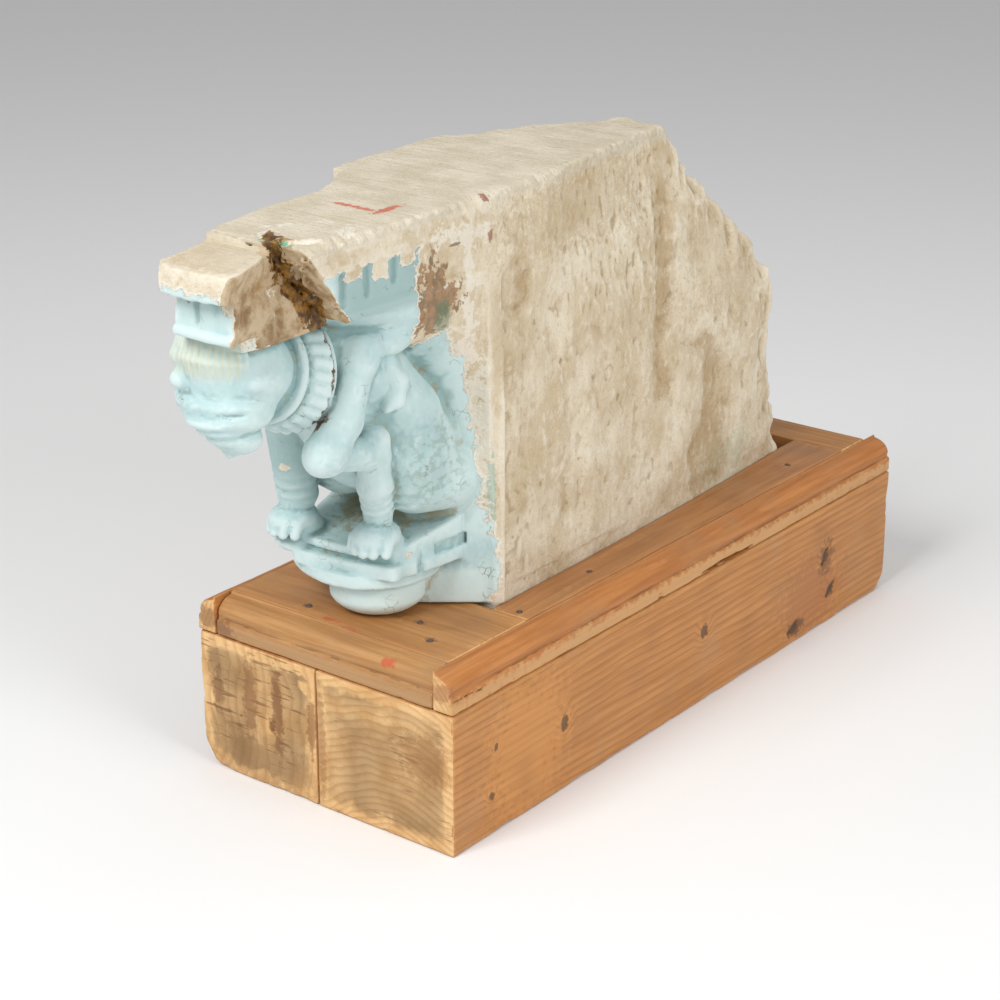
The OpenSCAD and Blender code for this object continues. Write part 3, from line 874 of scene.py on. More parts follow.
def split(clay, a, b, width, depth, seed=5):
    """A drying crack from a to b, dark and deep in its middle, of a depth along its own face."""
    e = np.subtract(b, a)
    room = depth + 6
    low, high = np.minimum(a, b) - room, np.maximum(a, b) + room
    cut, x, y, z = clay.part(low, high)
    t = np.clip(((x - a[0]) * e[0] + (y - a[1]) * e[1] + (z - a[2]) * e[2]) / float(e @ e), 0, 1)
    waver = 1.2 * np.sin(t * 9 + seed) + 0.7 * np.sin(t * 23 + 2 * seed)
    beside = z - a[2] - e[2] * t + waver * 0.4
    gap = np.sqrt((x - a[0] - e[0] * t) ** 2 + (y - a[1] - e[1] * t) ** 2 + beside ** 2)
    taper = np.sqrt(np.clip(t * (1 - t) * 4, 0, 1))
    slot = np.maximum(gap - depth, 0) * 0.6 + np.abs(beside) - width * taper
    clay.d[cut] = smooth_max(clay.d[cut], -slot, 0.4)


def finish_timber(clay, name, node, triangles, material):
    piece = clay.mesh(name, triangles)
    points = places_of(piece.data)
    give_mask(piece, "hollow", clay.sample(clay.hollows(3 * clay.step), points))
    piece.data.materials.append(material)
    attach(piece, "root")
    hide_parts(node)
    return piece


def back_slope(clay):
    """The bottom back edge is planed away."""
    _, y, z = clay.everywhere()
    clay.d = smooth_max(clay.d, ((y - half_l) - z + 15) * 0.707, 2.0).astype(np.float32)


def left_timber():
    high = (beam_joint - open_joint, half_l, beam_top)
    clay = timber_clay((-half_w, -half_l, 0), high, BEAM_STEP, 3.4, 101)
    x, _, z = clay.everywhere()
    # worn bottom edge along the outer side
    clay.d = smooth_max(clay.d, (-(x + half_w) * 1.6 - z) * 0.53 + 11.2, 6.0).astype(np.float32)
    back_slope(clay)
    split(clay, (-half_w, -180, 70), (-half_w, -20, 74), 1.0, 7, 3)
    split(clay, (-80, half_l, 60), (-30, half_l, 72), 1.0, 8, 4)
    clay.dent((-57, -half_l, 59), (4.5, 2.2, 7), 1.0)
    return finish_timber(clay, "left_timber", "left_beam", 26000, WOOD["left"])


def right_timber():
    low = (beam_joint + open_joint, -half_l, 0)
    clay = timber_clay(low, (half_w, half_l, beam_top), BEAM_STEP, 2.0, 111)
    back_slope(clay)
    # torn grain on the upper front
    for i in range(4):
        clay.dent((18 + 26 * i, -half_l - 0.5, 100 + 3 * i), (15, 1.9, 2.8), 1.2)
    # knots and torn places on the right side
    for y, z, ry, rz, depth in KNOTS:
        clay.dent((half_w, y, z), (depth, ry, rz), 1.2)
    for y, z in TORN:
        clay.dent((half_w + 0.5, y, z), (3.6, 5.5, 3.2), 1.4)
    return finish_timber(clay, "right_timber", "right_beam", 30000, WOOD["right"])


def nail_dents(clay):
    for nx, ny in nails:
        clay.dent((nx, ny, frame_top + 0.6), (5.0, 5.0, 1.6), 0.8)


def front_board():
    high = (flat_x, board_back - open_joint, frame_top)
    clay = timber_clay((-flat_x, -flat_y, beam_top), high, BOARD_STEP, 1.0, 121)
    nail_dents(clay)
    split(clay, (-100, -262, frame_top), (-30, -256, frame_top), 0.5, 3, 1)
    return finish_timber(clay, "front_board_worn", "front_board", 14000, WOOD["board"])


def back_rail():
    low = (-flat_x, rail_back + open_joint, beam_top)
    clay = timber_clay(low, (flat_x, flat_y, frame_top), BOARD_STEP, 1.4, 131)
    return finish_timber(clay, "back_rail_worn", "back_rail", 8000, WOOD["board"])


def side_rail(side):
    """The rail beside the stone on one side; its inner edge follows the stone."""
    low = (block_x - 24, board_back + open_joint, beam_top)
    high = (flat_x, rail_back - open_joint, frame_top)
    clay = timber_clay(low, high, BOARD_STEP, 1.0, 141)
    x, y, _ = clay.everywhere()
    clay.d = smooth_max(clay.d, side_x(y) + 0.6 - x, 0.8).astype(np.float32)
    if side < 0:
        clay.d = clay.d[::-1].copy()
        clay.low[0] = -float(clay.axes[0][-1])
        clay.axes[0] = -clay.axes[0][::-1]
    nail_dents(clay)
    node = "right_rail" if side > 0 else "left_rail"
    return finish_timber(clay, node + "_worn", node, 12000, WOOD["rail"])


def moulding_section(inwards, up):
    """Distance to the moulding's section: upright fillet, hollowed slope, quirk at the top."""
    width, height = half_w - flat_x - 0.4, frame_top - beam_top
    points = [(0.3, 0.4), (0.3, 14.4), (3.0, 15.2), (3.0, 17.2)]
    for degrees in range(10, 91, 10):
        turn = math.radians(degrees)
        across = 2.2 + (width - 4.4) * (1 - math.cos(turn))
        points.append((across, 17.2 + (height - 20.2) * math.sin(turn)))
    points += [(width - 1.8, height - 0.3), (width, height - 0.3), (width, 0.4)]
    return outline(inwards, up, points)


def moulding(kind):
    """One length of moulding on the side it is named for."""
    span = half_l if kind in ("right", "left") else flat_x - 0.2
    seed = {"right": 151, "left": 161, "front": 171, "back": 181}[kind]
    room = 5
    low = (-room, -span - room, beam_top - room)
    clay = Clay(low, (half_w - flat_x + room, span + room, frame_top + room), MOULDING_STEP)
    u, along, z = clay.everywhere()
    section = moulding_section(clay.axes[0][:, None], clay.axes[2][None, :] - beam_top)[:, None, :]
    worn = noise_block(clay.axes, (12, 30, 12), seed)
    fine = noise_block(clay.axes, (5, 7, 5), seed + 1)
    d = rounded(section + 0.25 * worn + 0.9 * np.maximum(fine - 0.45, 0) + 0.1, np.abs(along) - span, 1.8)
    # the fillet is chipped along its lower edge
    chips = noise_map(clay.axes[1], clay.axes[2], (16, 200), seed + 2)[:, 0][None, :, None]
    lower = (-u - (z - beam_top)) * 0.707 + 0.4 + 3.4 * np.maximum(np.abs(chips) - 0.45, 0)
    clay.d = smooth_max(d, lower, 1.0).astype(np.float32)
    if kind == "right":
        split(clay, (0, 6, beam_top + 3), (0, 96, beam_top + 2.5), 1.7, 7, 1)
        clay.dent((0, -57, beam_top + 3), (3, 4.5, 4), 0.8)
        split(clay, (0, -348, beam_top + 12), (0, -300, beam_top + 11), 0.6, 3, 2)
    if kind == "left":
        split(clay, (0, -200, beam_top + 9), (0, -60, beam_top + 8), 0.6, 3, 3)
    turned(clay, kind)
    name, node = kind + "_moulding_worn", kind + "_moulding"
    material = WOOD["moulding_end"] if kind in ("front", "back") else WOOD["moulding"]
    return finish_timber(clay, name, node, 15000 if span == half_l else 9000, material)


def turned(clay, kind):
    """Brings a moulding carved along Y, with its outer face at 0, to its side of the base."""
    a, b = clay.axes[0], clay.axes[1]
    if kind == "left":
        clay.axes[0] = a - half_w
    if kind == "right":
        clay.d = clay.d[::-1].copy()
        clay.axes[0] = half_w - a[::-1]
    if kind == "front":
        clay.d = clay.d.transpose(1, 0, 2).copy()
        clay.axes[0], clay.axes[1] = b, a - half_l
    if kind == "back":
        clay.d = clay.d.transpose(1, 0, 2)[:, ::-1].copy()
        clay.axes[0], clay.axes[1] = b, half_l - a[::-1]
    clay.low = np.array([axis[0] for axis in clay.axes], float)


# ---------------------------------------------------------------- nails

NAIL_RADIUS = 3.5
NAIL_HEIGHT = 0.3                    # as a share of the radius


def nail_tree(material):
    """Hammered flat heads, one at each point, each turned and sized its own way."""
    tree = bpy.data.node_groups.new("hammered_nail_heads", "GeometryNodeTree")
    face = tree.interface
    face.new_socket("Geometry", in_out="INPUT", socket_type="NodeSocketGeometry")
    face.new_socket("Head radius", in_out="INPUT", socket_type="NodeSocketFloat")
    face.new_socket("Head height", in_out="INPUT", socket_type="NodeSocketFloat")
    face.new_socket("Seed", in_out="INPUT", socket_type="NodeSocketInt")
    face.new_socket("Geometry", in_out="OUTPUT", socket_type="NodeSocketGeometry")

    def node(kind, settings=None, **inputs):
        made = tree.nodes.new(kind)
        for key, value in (settings or {}).items():
            setattr(made, key, value)
        for key, value in inputs.items():
            socket = made.inputs[key.replace("_", " ")]
            if isinstance(value, bpy.types.NodeSocket):
                tree.links.new(value, socket)
            else:
                socket.default_value = value
        return made

    given = node("NodeGroupInput").outputs
    head = node("GeometryNodeMeshUVSphere", None, Segments=14, Rings=9, Radius=given["Head radius"])
    squeeze = node("ShaderNodeCombineXYZ", None, X=1.0, Y=1.0, Z=given["Head height"])
    flat = node("GeometryNodeTransform", None, Geometry=head.outputs["Mesh"], Scale=squeeze.outputs[0])
    turn = node("FunctionNodeRandomValue", {"data_type": "FLOAT_VECTOR"}, Seed=given["Seed"])
    turn.inputs[0].default_value = (-0.12, -0.12, 0.0)
    turn.inputs[1].default_value = (0.12, 0.12, 6.28)
    grow = node("FunctionNodeRandomValue", {"data_type": "FLOAT_VECTOR"}, Seed=given["Seed"])
    grow.inputs[0].default_value = (0.75, 0.55, 0.9)
    grow.inputs[1].default_value = (1.05, 0.85, 1.1)
    placed = node("GeometryNodeInstanceOnPoints", None, Points=given["Geometry"], Instance=flat.outputs[0],
                  Rotation=turn.outputs[0], Scale=grow.outputs[0])
    real = node("GeometryNodeRealizeInstances", None, Geometry=placed.outputs[0])
    bumps = node("ShaderNodeTexNoise", None, Scale=1 / (2.5 * MM), Detail=2.0)
    centred = node("ShaderNodeVectorMath", {"operation": "SUBTRACT"})
    tree.links.new(bumps.outputs["Color"], centred.inputs[0])
    centred.inputs[1].default_value = (0.5, 0.5, 0.5)
    small = node("ShaderNodeVectorMath", {"operation": "SCALE"})
    tree.links.new(centred.outputs[0], small.inputs[0])
    small.inputs["Scale"].default_value = 1.1 * MM
    dented = node("GeometryNodeSetPosition", None, Geometry=real.outputs[0], Offset=small.outputs[0])
    done = node("GeometryNodeSetMaterial", None, Geometry=dented.outputs[0], Material=material)
    out = node("NodeGroupOutput")
    tree.links.new(done.outputs[0], out.inputs[0])
    return tree


def nail_heads():
    """The nine heads as one piece, on points read from the CAD nails."""
    data = bpy.data.meshes.new("nail_heads")
    data.from_pydata([(x * MM, y * MM, (frame_top - 0.55) * MM) for x, y in nails], [], [])
    piece = bpy.data.objects.new("nail_heads", data)
    bpy.context.scene.collection.objects.link(piece)
    material = iron_finish()
    tree = nail_tree(material)
    grow = piece.modifiers.new("heads", "NODES")
    grow.node_group = tree
    values = {"Head radius": NAIL_RADIUS * MM, "Head height": NAIL_HEIGHT, "Seed": 7}
    for item in tree.interface.items_tree:
        if item.in_out == "INPUT" and item.name in values:
            grow[item.identifier] = values[item.name]
    graph = bpy.context.evaluated_depsgraph_get()
    solid = bpy.data.meshes.new_from_object(piece.evaluated_get(graph))
    piece.modifiers.clear()
    piece.data = solid
    solid.polygons.foreach_set("use_smooth", np.ones(len(solid.polygons), bool))
    if not solid.materials:
        solid.materials.append(material)
    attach(piece, "root")
    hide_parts("frame_nails")
    return piece


# ---------------------------------------------------------------- finishes

def linear(colour):
    """An sRGB hex colour as linear values."""
    parts = [int(colour[i:i + 2], 16) / 255 for i in (1, 3, 5)]
    lin = [p / 12.92 if p <= 0.04045 else ((p + 0.055) / 1.055) ** 2.4 for p in parts]
    return (*lin, 1.0)


class Finish:
    """A material under construction; its node method adds one node with settings and links."""

    def __init__(self, name):
        self.material = bpy.data.materials.new(name)
        self.material.use_nodes = True
        self.tree = self.material.node_tree
        self.tree.nodes.clear()
        self.output = self.node("ShaderNodeOutputMaterial")
        self.place = self.node("ShaderNodeTexCoord").outputs["Object"]

    def node(self, kind, settings=None, links=(), **inputs):
        made = self.tree.nodes.new(kind)
        for key, value in (settings or {}).items():
            setattr(made, key, value)
        named = [(made.inputs[key.replace("_", " ")], value) for key, value in inputs.items()]
        numbered = [(made.inputs[i], value) for i, value in links]
        for socket, value in named + numbered:
            if isinstance(value, bpy.types.NodeSocket):
                self.tree.links.new(value, socket)
            elif isinstance(value, str):
                socket.default_value = linear(value)
            else:
                socket.default_value = value
        return made

    def noise(self, size_mm, detail=3.0, rough=0.55, where=None):
        """Noise whose lumps are about that many millimetres across, 0 to 1."""
        return self.node("ShaderNodeTexNoise", None, Vector=where or self.place, Scale=1 / (size_mm * MM),
                         Detail=detail, Roughness=rough).outputs["Fac"]

    def mask(self, name):
        return self.node("ShaderNodeAttribute", {"attribute_name": name}).outputs["Fac"]

    def sum(self, op, a, b=0.0):
        return self.node("ShaderNodeMath", {"operation": op}, ((0, a), (1, b))).outputs[0]

    def span(self, value, low, high, start=0.0, end=1.0):
        """A value's way from low to high, as a smooth step from start to end."""
        links = ((0, value), (1, low), (2, high), (3, start), (4, end))
        return self.node("ShaderNodeMapRange", {"interpolation_type": "SMOOTHSTEP"}, links).outputs[0]

    def mix(self, factor, a, b, mode="MIX"):
        settings = {"data_type": "RGBA", "blend_type": mode}
        return self.node("ShaderNodeMix", settings, ((0, factor), (6, a), (7, b))).outputs[2]

    def times(self, a, b):
        return self.sum("MULTIPLY", a, b)

    def clouds(self, base, colour, size_mm, low, high, share=1.0, detail=6, rough=0.7, where=None):
        """Lays a colour over a base in patches, where noise runs from low to high."""
        patches = self.span(self.noise(size_mm, detail, rough, where), low, high, 0, share)
        return self.mix(patches, base, colour)

    def ragged(self, value, size_mm, reach, detail=6, rough=0.7):
        """A value whose outline is frayed by noise, by up to reach either way."""
        return self.sum("ADD", value, self.span(self.noise(size_mm, detail, rough), 0.2, 0.8, -reach, reach))

    def stretched(self, x, y, z):
        """Object coordinates scaled along each axis."""
        return self.node("ShaderNodeMapping", None, Vector=self.place, Scale=(x, y, z)).outputs[0]

    def near(self, centre, radii):
        """Distance from a place in millimetres, in shares of three radii."""
        def vector(op, *values):
            return self.node("ShaderNodeVectorMath", {"operation": op}, tuple(enumerate(values))).outputs

        away = vector("SUBTRACT", self.place, tuple(c * MM for c in centre))[0]
        share = vector("MULTIPLY", away, tuple(1 / (r * MM) for r in radii))[0]
        return vector("LENGTH", share)["Value"]

    def close(self, colour, rough, height, strength, depth_mm):
        """Joins colour, roughness and relief into the surface."""
        shade = self.node("ShaderNodeBsdfPrincipled", None, Base_Color=colour, Roughness=rough, IOR=1.5)
        bump = self.node("ShaderNodeBump", None, Height=height, Strength=strength, Distance=depth_mm * MM)
        self.tree.links.new(bump.outputs[0], shade.inputs["Normal"])
        self.tree.links.new(shade.outputs[0], self.output.inputs[0])
        return self.material


# spots of colour on the stone: place, half sizes, colour, strength
STONE_SPOTS = (
    ((45, -434, 512), (15, 4, 9), "#4fae8a", 0.85),
    ((10, -319, 513), (12, 3.5, 5), "#c4553c", 0.75),
    ((30, -320, 513), (14, 3.5, 5), "#c4553c", 0.75),
    ((47, -311, 513), (4, 18, 5), "#c4553c", 0.8),
    ((80, -283, 428), (12, 9, 16), "#5f7d66", 0.6),
    ((80, -229, 512), (8, 4, 4), "#8d4a32", 0.8),
    ((80, -225, 480), (8, 3, 5), "#8d4a32", 0.7),
    ((80, -269, 482), (8, 7, 1.3), "#5d3c28", 0.7),
    ((78, 160, 182), (12, 60, 34), "#b9bda4", 0.5),
    ((79, -222, 260), (5, 3, 40), "#7fae9e", 0.5),
    ((76, -60, 478), (16, 150, 36), "#b0966a", 0.32),
    ((66, 150, 400), (20, 70, 70), "#b0966a", 0.22),
    ((20, -470, 507), (60, 38, 7), "#bdab8e", 0.3),
)


def limestone_finish():
    """Old cream limestone, part sawn and part hewn, with brittle pale blue distemper over
    a white ground on its carved face: chalky, matt, darker in the hollows, bare on edges."""
    f = Finish("hewn_limestone_with_old_blue_distemper")
    hollow = f.mask("hollow")
    paint = f.mask("paint")
    # limestone body: cream with tan clouds, pale worn places, brown in hollows
    stone = f.clouds("#cdbb9c", "#e2d6be", 80, 0.38, 0.66, 1, 5, 0.6)
    stone = f.clouds(stone, "#b89f78", 22, 0.47, 0.72, 0.55)
    stone = f.clouds(stone, "#ebe2d0", 9, 0.5, 0.68, 0.5, where=f.stretched(1, 1, 0.45))
    stone = f.clouds(stone, "#a68d6a", 2.6, 0.52, 0.7, 0.4, 5)
    sunk = f.ragged(f.mask("sunk"), 20, 4)
    stone = f.mix(f.span(sunk, 1.0, 6.0, 0, 0.65), stone, "#a98c60")
    stone = f.mix(f.span(hollow, 0.25, 1.3, 0, 0.6), stone, "#9a7f57")
    stone = f.mix(f.span(hollow, -0.25, -1.2, 0, 0.5), stone, "#ebe3d3")
    # sawn top: greyer, with the saw's lines across it
    sawn = f.clouds("#c9bfa9", "#d8cfbc", 34, 0.35, 0.65, 1, 5, 0.55)
    lines = f.node("ShaderNodeMapping", None, Vector=f.place, Rotation=(0, 0, math.radians(-37.7)),
                   Scale=(0.04, 1, 1)).outputs[0]
    sawn = f.clouds(sawn, "#b6a78a", 3.0, 0.45, 0.7, 0.55, 3, 0.6, lines)
    sawn = f.clouds(sawn, "#a8946f", 5, 0.58, 0.7, 0.5)
    stone = f.mix(f.times(f.mask("sawn"), 0.85), stone, sawn)
    # broken faces, plaster and brown stain
    broken = f.clouds("#c8b394", "#a3865d", 15, 0.4, 0.66, 1, 6, 0.65)
    broken = f.clouds(broken, "#7c5b36", 30, 0.5, 0.7, 0.6, 4, 0.55)
    stone = f.mix(f.span(f.mask("fresh"), 0.0, 1.5), stone, broken)
    plaster = f.ragged(f.mask("plaster"), 12, 13)
    stone = f.mix(f.span(plaster, 0, 3, 0, 0.7), stone, "#e9e2d4")
    stain = f.ragged(f.mask("stain"), 10, 16)
    stain_colour = f.clouds("#9a6f47", "#6f5638", 7, 0.42, 0.6, 1, 5, 0.55)
    stone = f.mix(f.span(stain, 0, 3, 0, 0.8), stone, stain_colour)
    for place, radii, colour, share in STONE_SPOTS:
        gap = f.ragged(f.near(place, radii), 5, 0.6, 5)
        stone = f.mix(f.span(gap, 1.1, 0.8, 0, share), stone, colour)
    # glossy brown resin run down the cleft
    resin = f.span(f.ragged(f.mask("resin"), 9, 8, 5, 0.6), -0.5, 1.5)
    stone = f.mix(resin, stone, f.clouds("#a27530", "#4f3210", 8, 0.36, 0.62, 1, 5, 0.55))
    # paint: pale blue, darker and greener in hollows as painted shade, chalk white where rubbed
    blue = f.clouds("#b2cccd", "#c4d9d7", 45, 0.35, 0.65, 1, 4, 0.55)
    blue = f.clouds(blue, "#cddedb", 9, 0.5, 0.75, 0.5, 6, 0.6)
    # painted shade: the paint darkens in its hollows and grooves
    blue = f.mix(f.span(hollow, 0.1, 1.3, 0, 0.7), blue, "#82a3a3")
    blue = f.mix(f.span(hollow, -0.3, -1.6, 0, 0.6), blue, "#d6e4e2")
    # painted shade from the shade mask: darker paint on the frieze under the slab, on the far leg and on the
    # haunch
    blue = f.mix(f.mask("shade"), blue, "#8faaa8")
    # painted light from the pale mask: paler paint under the disc and on the splayed wall
    blue = f.mix(f.mask("pale"), blue, "#d5e6e4")
    fur = f.span(f.noise(4.5, 4, 0.6, f.stretched(1, 0.4, 0.8)), 0.48, 0.6)
    blue = f.mix(f.times(f.times(f.mask("fur"), fur), 0.5), blue, "#8b9f92")
    grime = f.times(f.span(hollow, 0.8, 2.0), f.span(f.noise(14, 6, 0.65), 0.45, 0.6))
    grime = f.times(grime, f.span(f.mask("shade"), 0.3, 0.6, 0.65, 0))
    blue = f.mix(grime, blue, "#a08a5e")
    blue = f.mix(f.times(f.mask("brow"), 0.7), blue, "#cbc6a6")
    blue = f.mix(f.span(f.ragged(f.mask("dirt"), 12, 15), -3, 11, 0, 0.75), blue, "#a18c60")
    blue = f.mix(f.span(f.ragged(f.mask("rust"), 6, 3), 0, 1.5, 0, 0.9), blue, "#6f4320")
    # fine dark cracks in patches of the paint
    cell = f.node("ShaderNodeTexVoronoi", {"feature": "DISTANCE_TO_EDGE"}, Vector=f.place, Scale=1 / (7 * MM))
    lines = f.span(cell.outputs["Distance"], 0.028, 0.008)
    crazed = f.times(lines, f.span(f.noise(22, 3), 0.6, 0.66))
    blue = f.mix(f.times(crazed, 0.75), blue, "#7d7358")
    # the paint's ragged edge, with a rim of its white ground
    reach = f.sum("ADD", paint, f.span(f.noise(8, 6, 0.65), 0.15, 0.85, -4.5, 4.5))
    covered = f.span(reach, 0.0, 0.4)
    surface = f.mix(f.span(reach, -2.2, -1.6), stone, "#e6dfcf")
    surface = f.mix(covered, surface, blue)
    grain = f.sum("ADD", f.noise(2.2, 4, 0.65), f.times(f.noise(6, 5, 0.65), 1.8))
    bare = f.sum("SUBTRACT", 1.0, f.times(covered, 0.8))
    height = f.sum("ADD", f.times(grain, bare), f.times(covered, 0.45))
    height = f.sum("SUBTRACT", height, f.times(f.times(crazed, covered), 0.3))
    return f.close(surface, f.span(resin, 0, 1, 0.88, 0.25), height, 0.85, 1.1)


def pine_finish(name, early, late, along, pith, spacing, dark=0.35, knots=(), stains=()):
    """Old waxed pine: honey brown, its late wood in darker lines along the grain, grey and
    brown where handled, pale and rough on the sawn ends, with a soft low sheen.
    along is the axis of the grain; pith is the heart's place across it, in millimetres."""
    f = Finish(name)

    def grained(share):
        """Coordinates drawn out along the grain, so that noise makes long streaks."""
        return f.stretched(1, share, 1) if along == "Y" else f.stretched(share, 1, 1)

    bend = f.span(f.noise(38, 3, 0.5, grained(0.07)), 0.2, 0.8, -1, 1)
    swell = f.span(f.noise(90, 2, 0.5, grained(0.25)), 0.2, 0.8, -1, 1)
    # growth rings: distance from the heart, bent, swollen and pushed aside by knots
    parts = f.node("ShaderNodeSeparateXYZ", None, Vector=f.place).outputs
    across = parts[0] if along == "Y" else parts[1]
    dx = f.sum("SUBTRACT", across, pith[0] * MM)
    dz = f.sum("SUBTRACT", parts[2], pith[1] * MM)
    radius = f.sum("SQRT", f.sum("ADD", f.times(dx, dx), f.times(dz, dz)))
    radius = f.sum("ADD", radius, f.times(bend, 0.22 * spacing * MM))
    radius = f.sum("ADD", radius, f.times(swell, 0.9 * spacing * MM))
    knot_dark = 0.0
    for centre, radii in knots:
        gap = f.near(centre, radii)
        radius = f.sum("ADD", radius, f.span(gap, 3.2, 0.6, 0, 1.3 * spacing * MM))
        core = f.span(f.ragged(gap, 4, 0.35, 3, 0.55), 1.1, 0.75)
        knot_dark = f.sum("MAXIMUM", core, knot_dark)
    saw = f.sum("FRACT", f.times(radius, 1 / (spacing * MM)))
    ring = f.times(f.span(saw, 0.35, 0.9), f.span(saw, 1.0, 0.92))
    fibre = f.noise(1.1, 4, 0.6, grained(0.03))
    streak = f.noise(5, 4, 0.6, grained(0.05))
    wood = f.mix(f.span(streak, 0.3, 0.7), early, late)
    wood = f.mix(f.times(ring, dark), wood, "#8a5528")
    wood = f.mix(f.span(fibre, 0.42, 0.75, 0, 0.35), wood, "#8f5c30")
    wood = f.clouds(wood, "#a88660", 60, 0.45, 0.8, 0.35, 4, 0.55)
    # the sawn ends face along the grain: pale, with slanting strokes of the saw
    normal = f.node("ShaderNodeNewGeometry").outputs["True Normal"]
    facing = f.node("ShaderNodeSeparateXYZ", None, Vector=normal).outputs[1 if along == "Y" else 0]
    end = f.span(f.sum("ABSOLUTE", facing), 0.72, 0.82)
    ends = f.clouds("#e6bd86", "#d0a36a", 24, 0.35, 0.7, 1, 5, 0.55)
    ends = f.mix(f.times(ring, 0.36), ends, "#a87a4b")
    ends = f.clouds(ends, "#96693f", 2.5, 0.55, 0.75, 0.45, 5)
    slanted = f.node("ShaderNodeMapping", None, Vector=f.place, Rotation=(0, math.radians(28), 0),
                     Scale=(0.09, 1, 1)).outputs[0]
    strokes = f.span(f.noise(3.4, 3, 0.6, slanted), 0.56, 0.64)
    strokes = f.times(strokes, f.span(f.noise(40, 2), 0.45, 0.6))
    ends = f.mix(f.times(strokes, 0.7), ends, "#7f5632")
    wood = f.mix(end, wood, ends)
    for centre, radii, colour, share in stains:
        gap = f.ragged(f.near(centre, radii), 7, 0.55, 5, 0.65)
        wood = f.mix(f.span(gap, 1.15, 0.55, 0, share), wood, colour)
    wood = f.mix(f.times(knot_dark, 0.85), wood, "#5d4226")
    hollow = f.mask("hollow")
    wood = f.mix(f.span(hollow, 0.2, 1.2, 0, 0.75), wood, "#4f3620")
    wood = f.mix(f.span(hollow, -0.8, -2.2, 0, 0.3), wood, "#d2a673")
    height = f.sum("ADD", f.times(fibre, 0.8), f.times(ring, 0.35))
    height = f.sum("ADD", height, f.times(end, f.noise(2.2, 4, 0.7)))
    return f.close(wood, f.span(end, 0, 1, 0.5, 0.85), height, 0.45, 0.6)


def iron_finish():
    """Wrought iron nail heads, hammered flat and browned with old rust: dull and dark."""
    f = Finish("rusted_wrought_iron")
    rust = f.mix(f.span(f.noise(1.5, 3), 0.35, 0.65), "#4b443f", "#6d5039")
    return f.close(rust, 0.6, f.noise(0.8, 3), 0.5, 0.3)


# stains on the timbers: place, half sizes, colour, strength
FRONT = -half_l
LOW_EDGE = beam_top + 6
LEFT_STAINS = (
    ((-118, FRONT, 76), (8, 6, 22), "#94683f", 0.7),
    ((-82, FRONT, 76), (9, 6, 38), "#a1744a", 0.75),
    ((-50, FRONT, 74), (7, 6, 44), "#8d5f39", 0.8),
    ((-12, FRONT, 72), (6, 6, 30), "#8a5d38", 0.7),
    ((-70, FRONT, 20), (75, 6, 24), "#a8835a", 0.5),
    ((-57, FRONT, 59), (4, 6, 6), "#6f4526", 0.8),
    ((-116, FRONT, 58), (26, 6, 1.5), "#6f4a2c", 0.7),
)
RIGHT_STAINS = (
    ((half_w, 205, 40), (6, 60, 44), "#a5683a", 0.55),
    ((half_w, 230, 70), (6, 14, 22), "#704628", 0.6),
    ((half_w, -250, 60), (6, 60, 70), "#cf8f49", 0.5),
    ((half_w, 178, 15), (6, 16, 9), "#5f4026", 0.75),
    ((110, FRONT, 80), (30, 6, 24), "#a9743f", 0.5),
    ((-2, FRONT, 60), (6, 6, 60), "#8a5d38", 0.5),
)
BOARD_STAINS = (
    ((-10, -324, frame_top), (10, 3, 4), "#b8482c", 0.7),
    ((14, -328, frame_top), (12, 3, 4), "#b8482c", 0.6),
    ((-44, -314, frame_top), (5, 4, 4), "#6b5340", 0.7),
    ((52, -283, frame_top), (7, 4, 4), "#6d5a4a", 0.6),
    ((80, -304, frame_top), (7, 4, 4), "#6d5a4a", 0.6),
    ((20, -345, frame_top), (130, 5, 4), "#8a5c38", 0.5),
)
# the mouldings' lower fillets are paler, and rubbed dark at the corners
SIDE_FILLET = (
    ((half_w, 0, LOW_EDGE), (5, 600, 9), "#cfa36c", 0.65),
    ((128, FRONT, LOW_EDGE + 12), (16, 8, 9), "#9a6440", 0.6),
    ((-128, FRONT, LOW_EDGE + 8), (14, 10, 12), "#7a5033", 0.6),
)
FRONT_FILLET = (
    ((0, FRONT, LOW_EDGE), (200, 5, 8), "#b08a60", 0.6),
    ((69, FRONT + 5, 152), (8, 6, 4), "#bf4f2a", 0.8),
    ((-112, FRONT, 130), (14, 8, 16), "#6d4529", 0.6),
)


def timber_finishes():
    """One finish for each cut of pine, with its own heart, knots and stains."""
    knots = [((half_w, y, z), (9, ry, rz)) for y, z, ry, rz, _ in KNOTS]
    # name, colours, grain along, heart, ring spacing, ring strength, knots, stains
    cuts = {
        "left": ("waxed_pine_left_timber", "#c58a4e", "#b3763c", "Y", (-300, 60), 11, 0.35, (), LEFT_STAINS),
        "right": ("waxed_pine_right_timber", "#c98b4b", "#b67838", "Y", (80, -75), 6.5, 0.38, knots,
                  RIGHT_STAINS),
        "board": ("handled_pine_boards", "#c58d55", "#b07840", "X", (-260, -60), 7, 0.25, (), BOARD_STAINS),
        "rail": ("handled_pine_rails", "#bd8553", "#a97343", "Y", (20, 40), 8, 0.2),
        "moulding": ("stained_pine_moulding", "#c28146", "#b06c30", "Y", (60, 60), 5, 0.3, (), SIDE_FILLET),
        "moulding_end": ("pale_pine_moulding", "#bf8f58", "#a87843", "X", (-300, 60), 5, 0.3, (),
                         FRONT_FILLET),
    }
    return {cut: pine_finish(*values) for cut, values in cuts.items()}


# ---------------------------------------------------------------- build the pieces

WOOD = timber_finishes()
stone = stone_piece()
stone.data.materials.append(limestone_finish())
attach(stone, "root")
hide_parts("stone_corbel")
for beam in (left_timber(), right_timber()):
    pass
for board in (front_board(), back_rail(), side_rail(1), side_rail(-1)):
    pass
for side in ("front", "back", "left", "right"):
    moulding(side)
nail_heads()


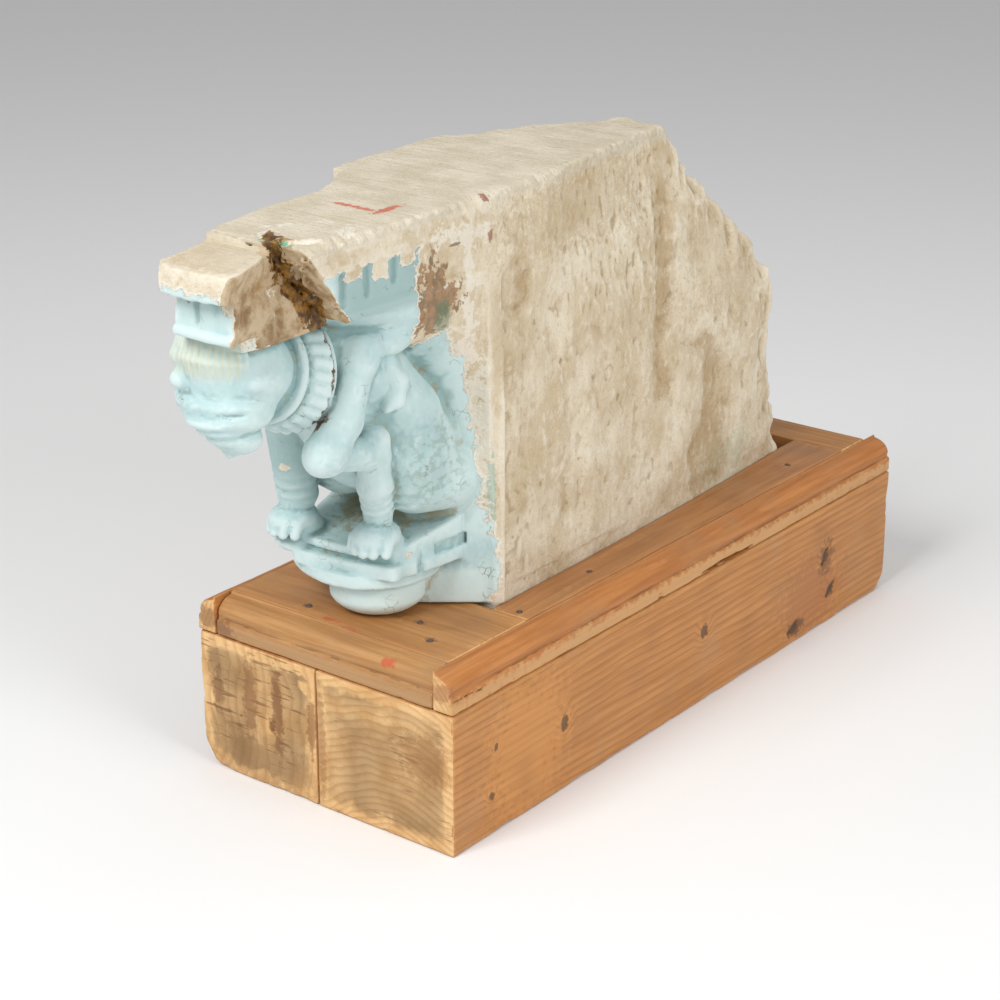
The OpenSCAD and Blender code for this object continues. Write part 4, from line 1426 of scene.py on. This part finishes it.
# ---------------------------------------------------------------- floor, light, camera

FLOOR_REACH = 6.0
SKY_STRENGTH = 0.42
LAMP_AIM = (0, -0.08, 0.25)
# name, place in metres, edge in metres, watts
LAMPS = (
    ("key", (-0.1, -2.3, 2.4), 1.2, 66),
    ("fill", (2.7, -0.5, 1.5), 1.4, 37),
    ("top", (0.2, 0.9, 2.6), 1.6, 5),
)
CAMERA_PLACE = (1.18796, -1.64340, 0.95900)
CAMERA_AZIMUTH = 37.754
CAMERA_ELEVATION = 21.298
LENS = 85
SENSOR = 36


def plain_finish(name, colour):
    f = Finish(name)
    shade = f.node("ShaderNodeBsdfPrincipled", None, Base_Color=colour, Roughness=0.9)
    f.tree.links.new(shade.outputs[0], f.output.inputs[0])
    return f.material


def floor_piece():
    data = bpy.data.meshes.new("floor")
    size = FLOOR_REACH
    corners = [(-size, -size, 0), (size, -size, 0), (size, size, 0), (-size, size, 0)]
    data.from_pydata(corners, [], [(0, 1, 2, 3)])
    floor = bpy.data.objects.new("floor", data)
    bpy.context.scene.collection.objects.link(floor)
    data.materials.append(plain_finish("plain_pale_floor", "#ededed"))


def lamp(name, place, aim, size, power):
    data = bpy.data.lights.new(name, "AREA")
    data.shape = "SQUARE"
    data.size = size
    data.energy = power
    made = bpy.data.objects.new(name, data)
    made.location = place
    made.rotation_euler = (Vector(aim) - Vector(place)).to_track_quat("-Z", "Y").to_euler()
    bpy.context.scene.collection.objects.link(made)


def studio():
    world = bpy.data.worlds.new("studio")
    bpy.context.scene.world = world
    world.use_nodes = True
    sky = world.node_tree.nodes["Background"]
    sky.inputs["Color"].default_value = (1, 1, 1, 1)
    sky.inputs["Strength"].default_value = SKY_STRENGTH
    for name, place, size, power in LAMPS:
        lamp(name, place, LAMP_AIM, size, power)


def camera():
    data = bpy.data.cameras.new("camera")
    data.lens = LENS
    data.sensor_width = SENSOR
    made = bpy.data.objects.new("camera", data)
    turn, tilt = math.radians(CAMERA_AZIMUTH), math.radians(CAMERA_ELEVATION)
    level = math.cos(tilt)
    ahead = Vector((-math.sin(turn) * level, math.cos(turn) * level, -math.sin(tilt)))
    made.location = CAMERA_PLACE
    made.rotation_euler = ahead.to_track_quat("-Z", "Y").to_euler()
    bpy.context.scene.collection.objects.link(made)
    bpy.context.scene.camera = made


floor_piece()
studio()
camera()
bpy.context.scene.view_settings.view_transform = "Standard"
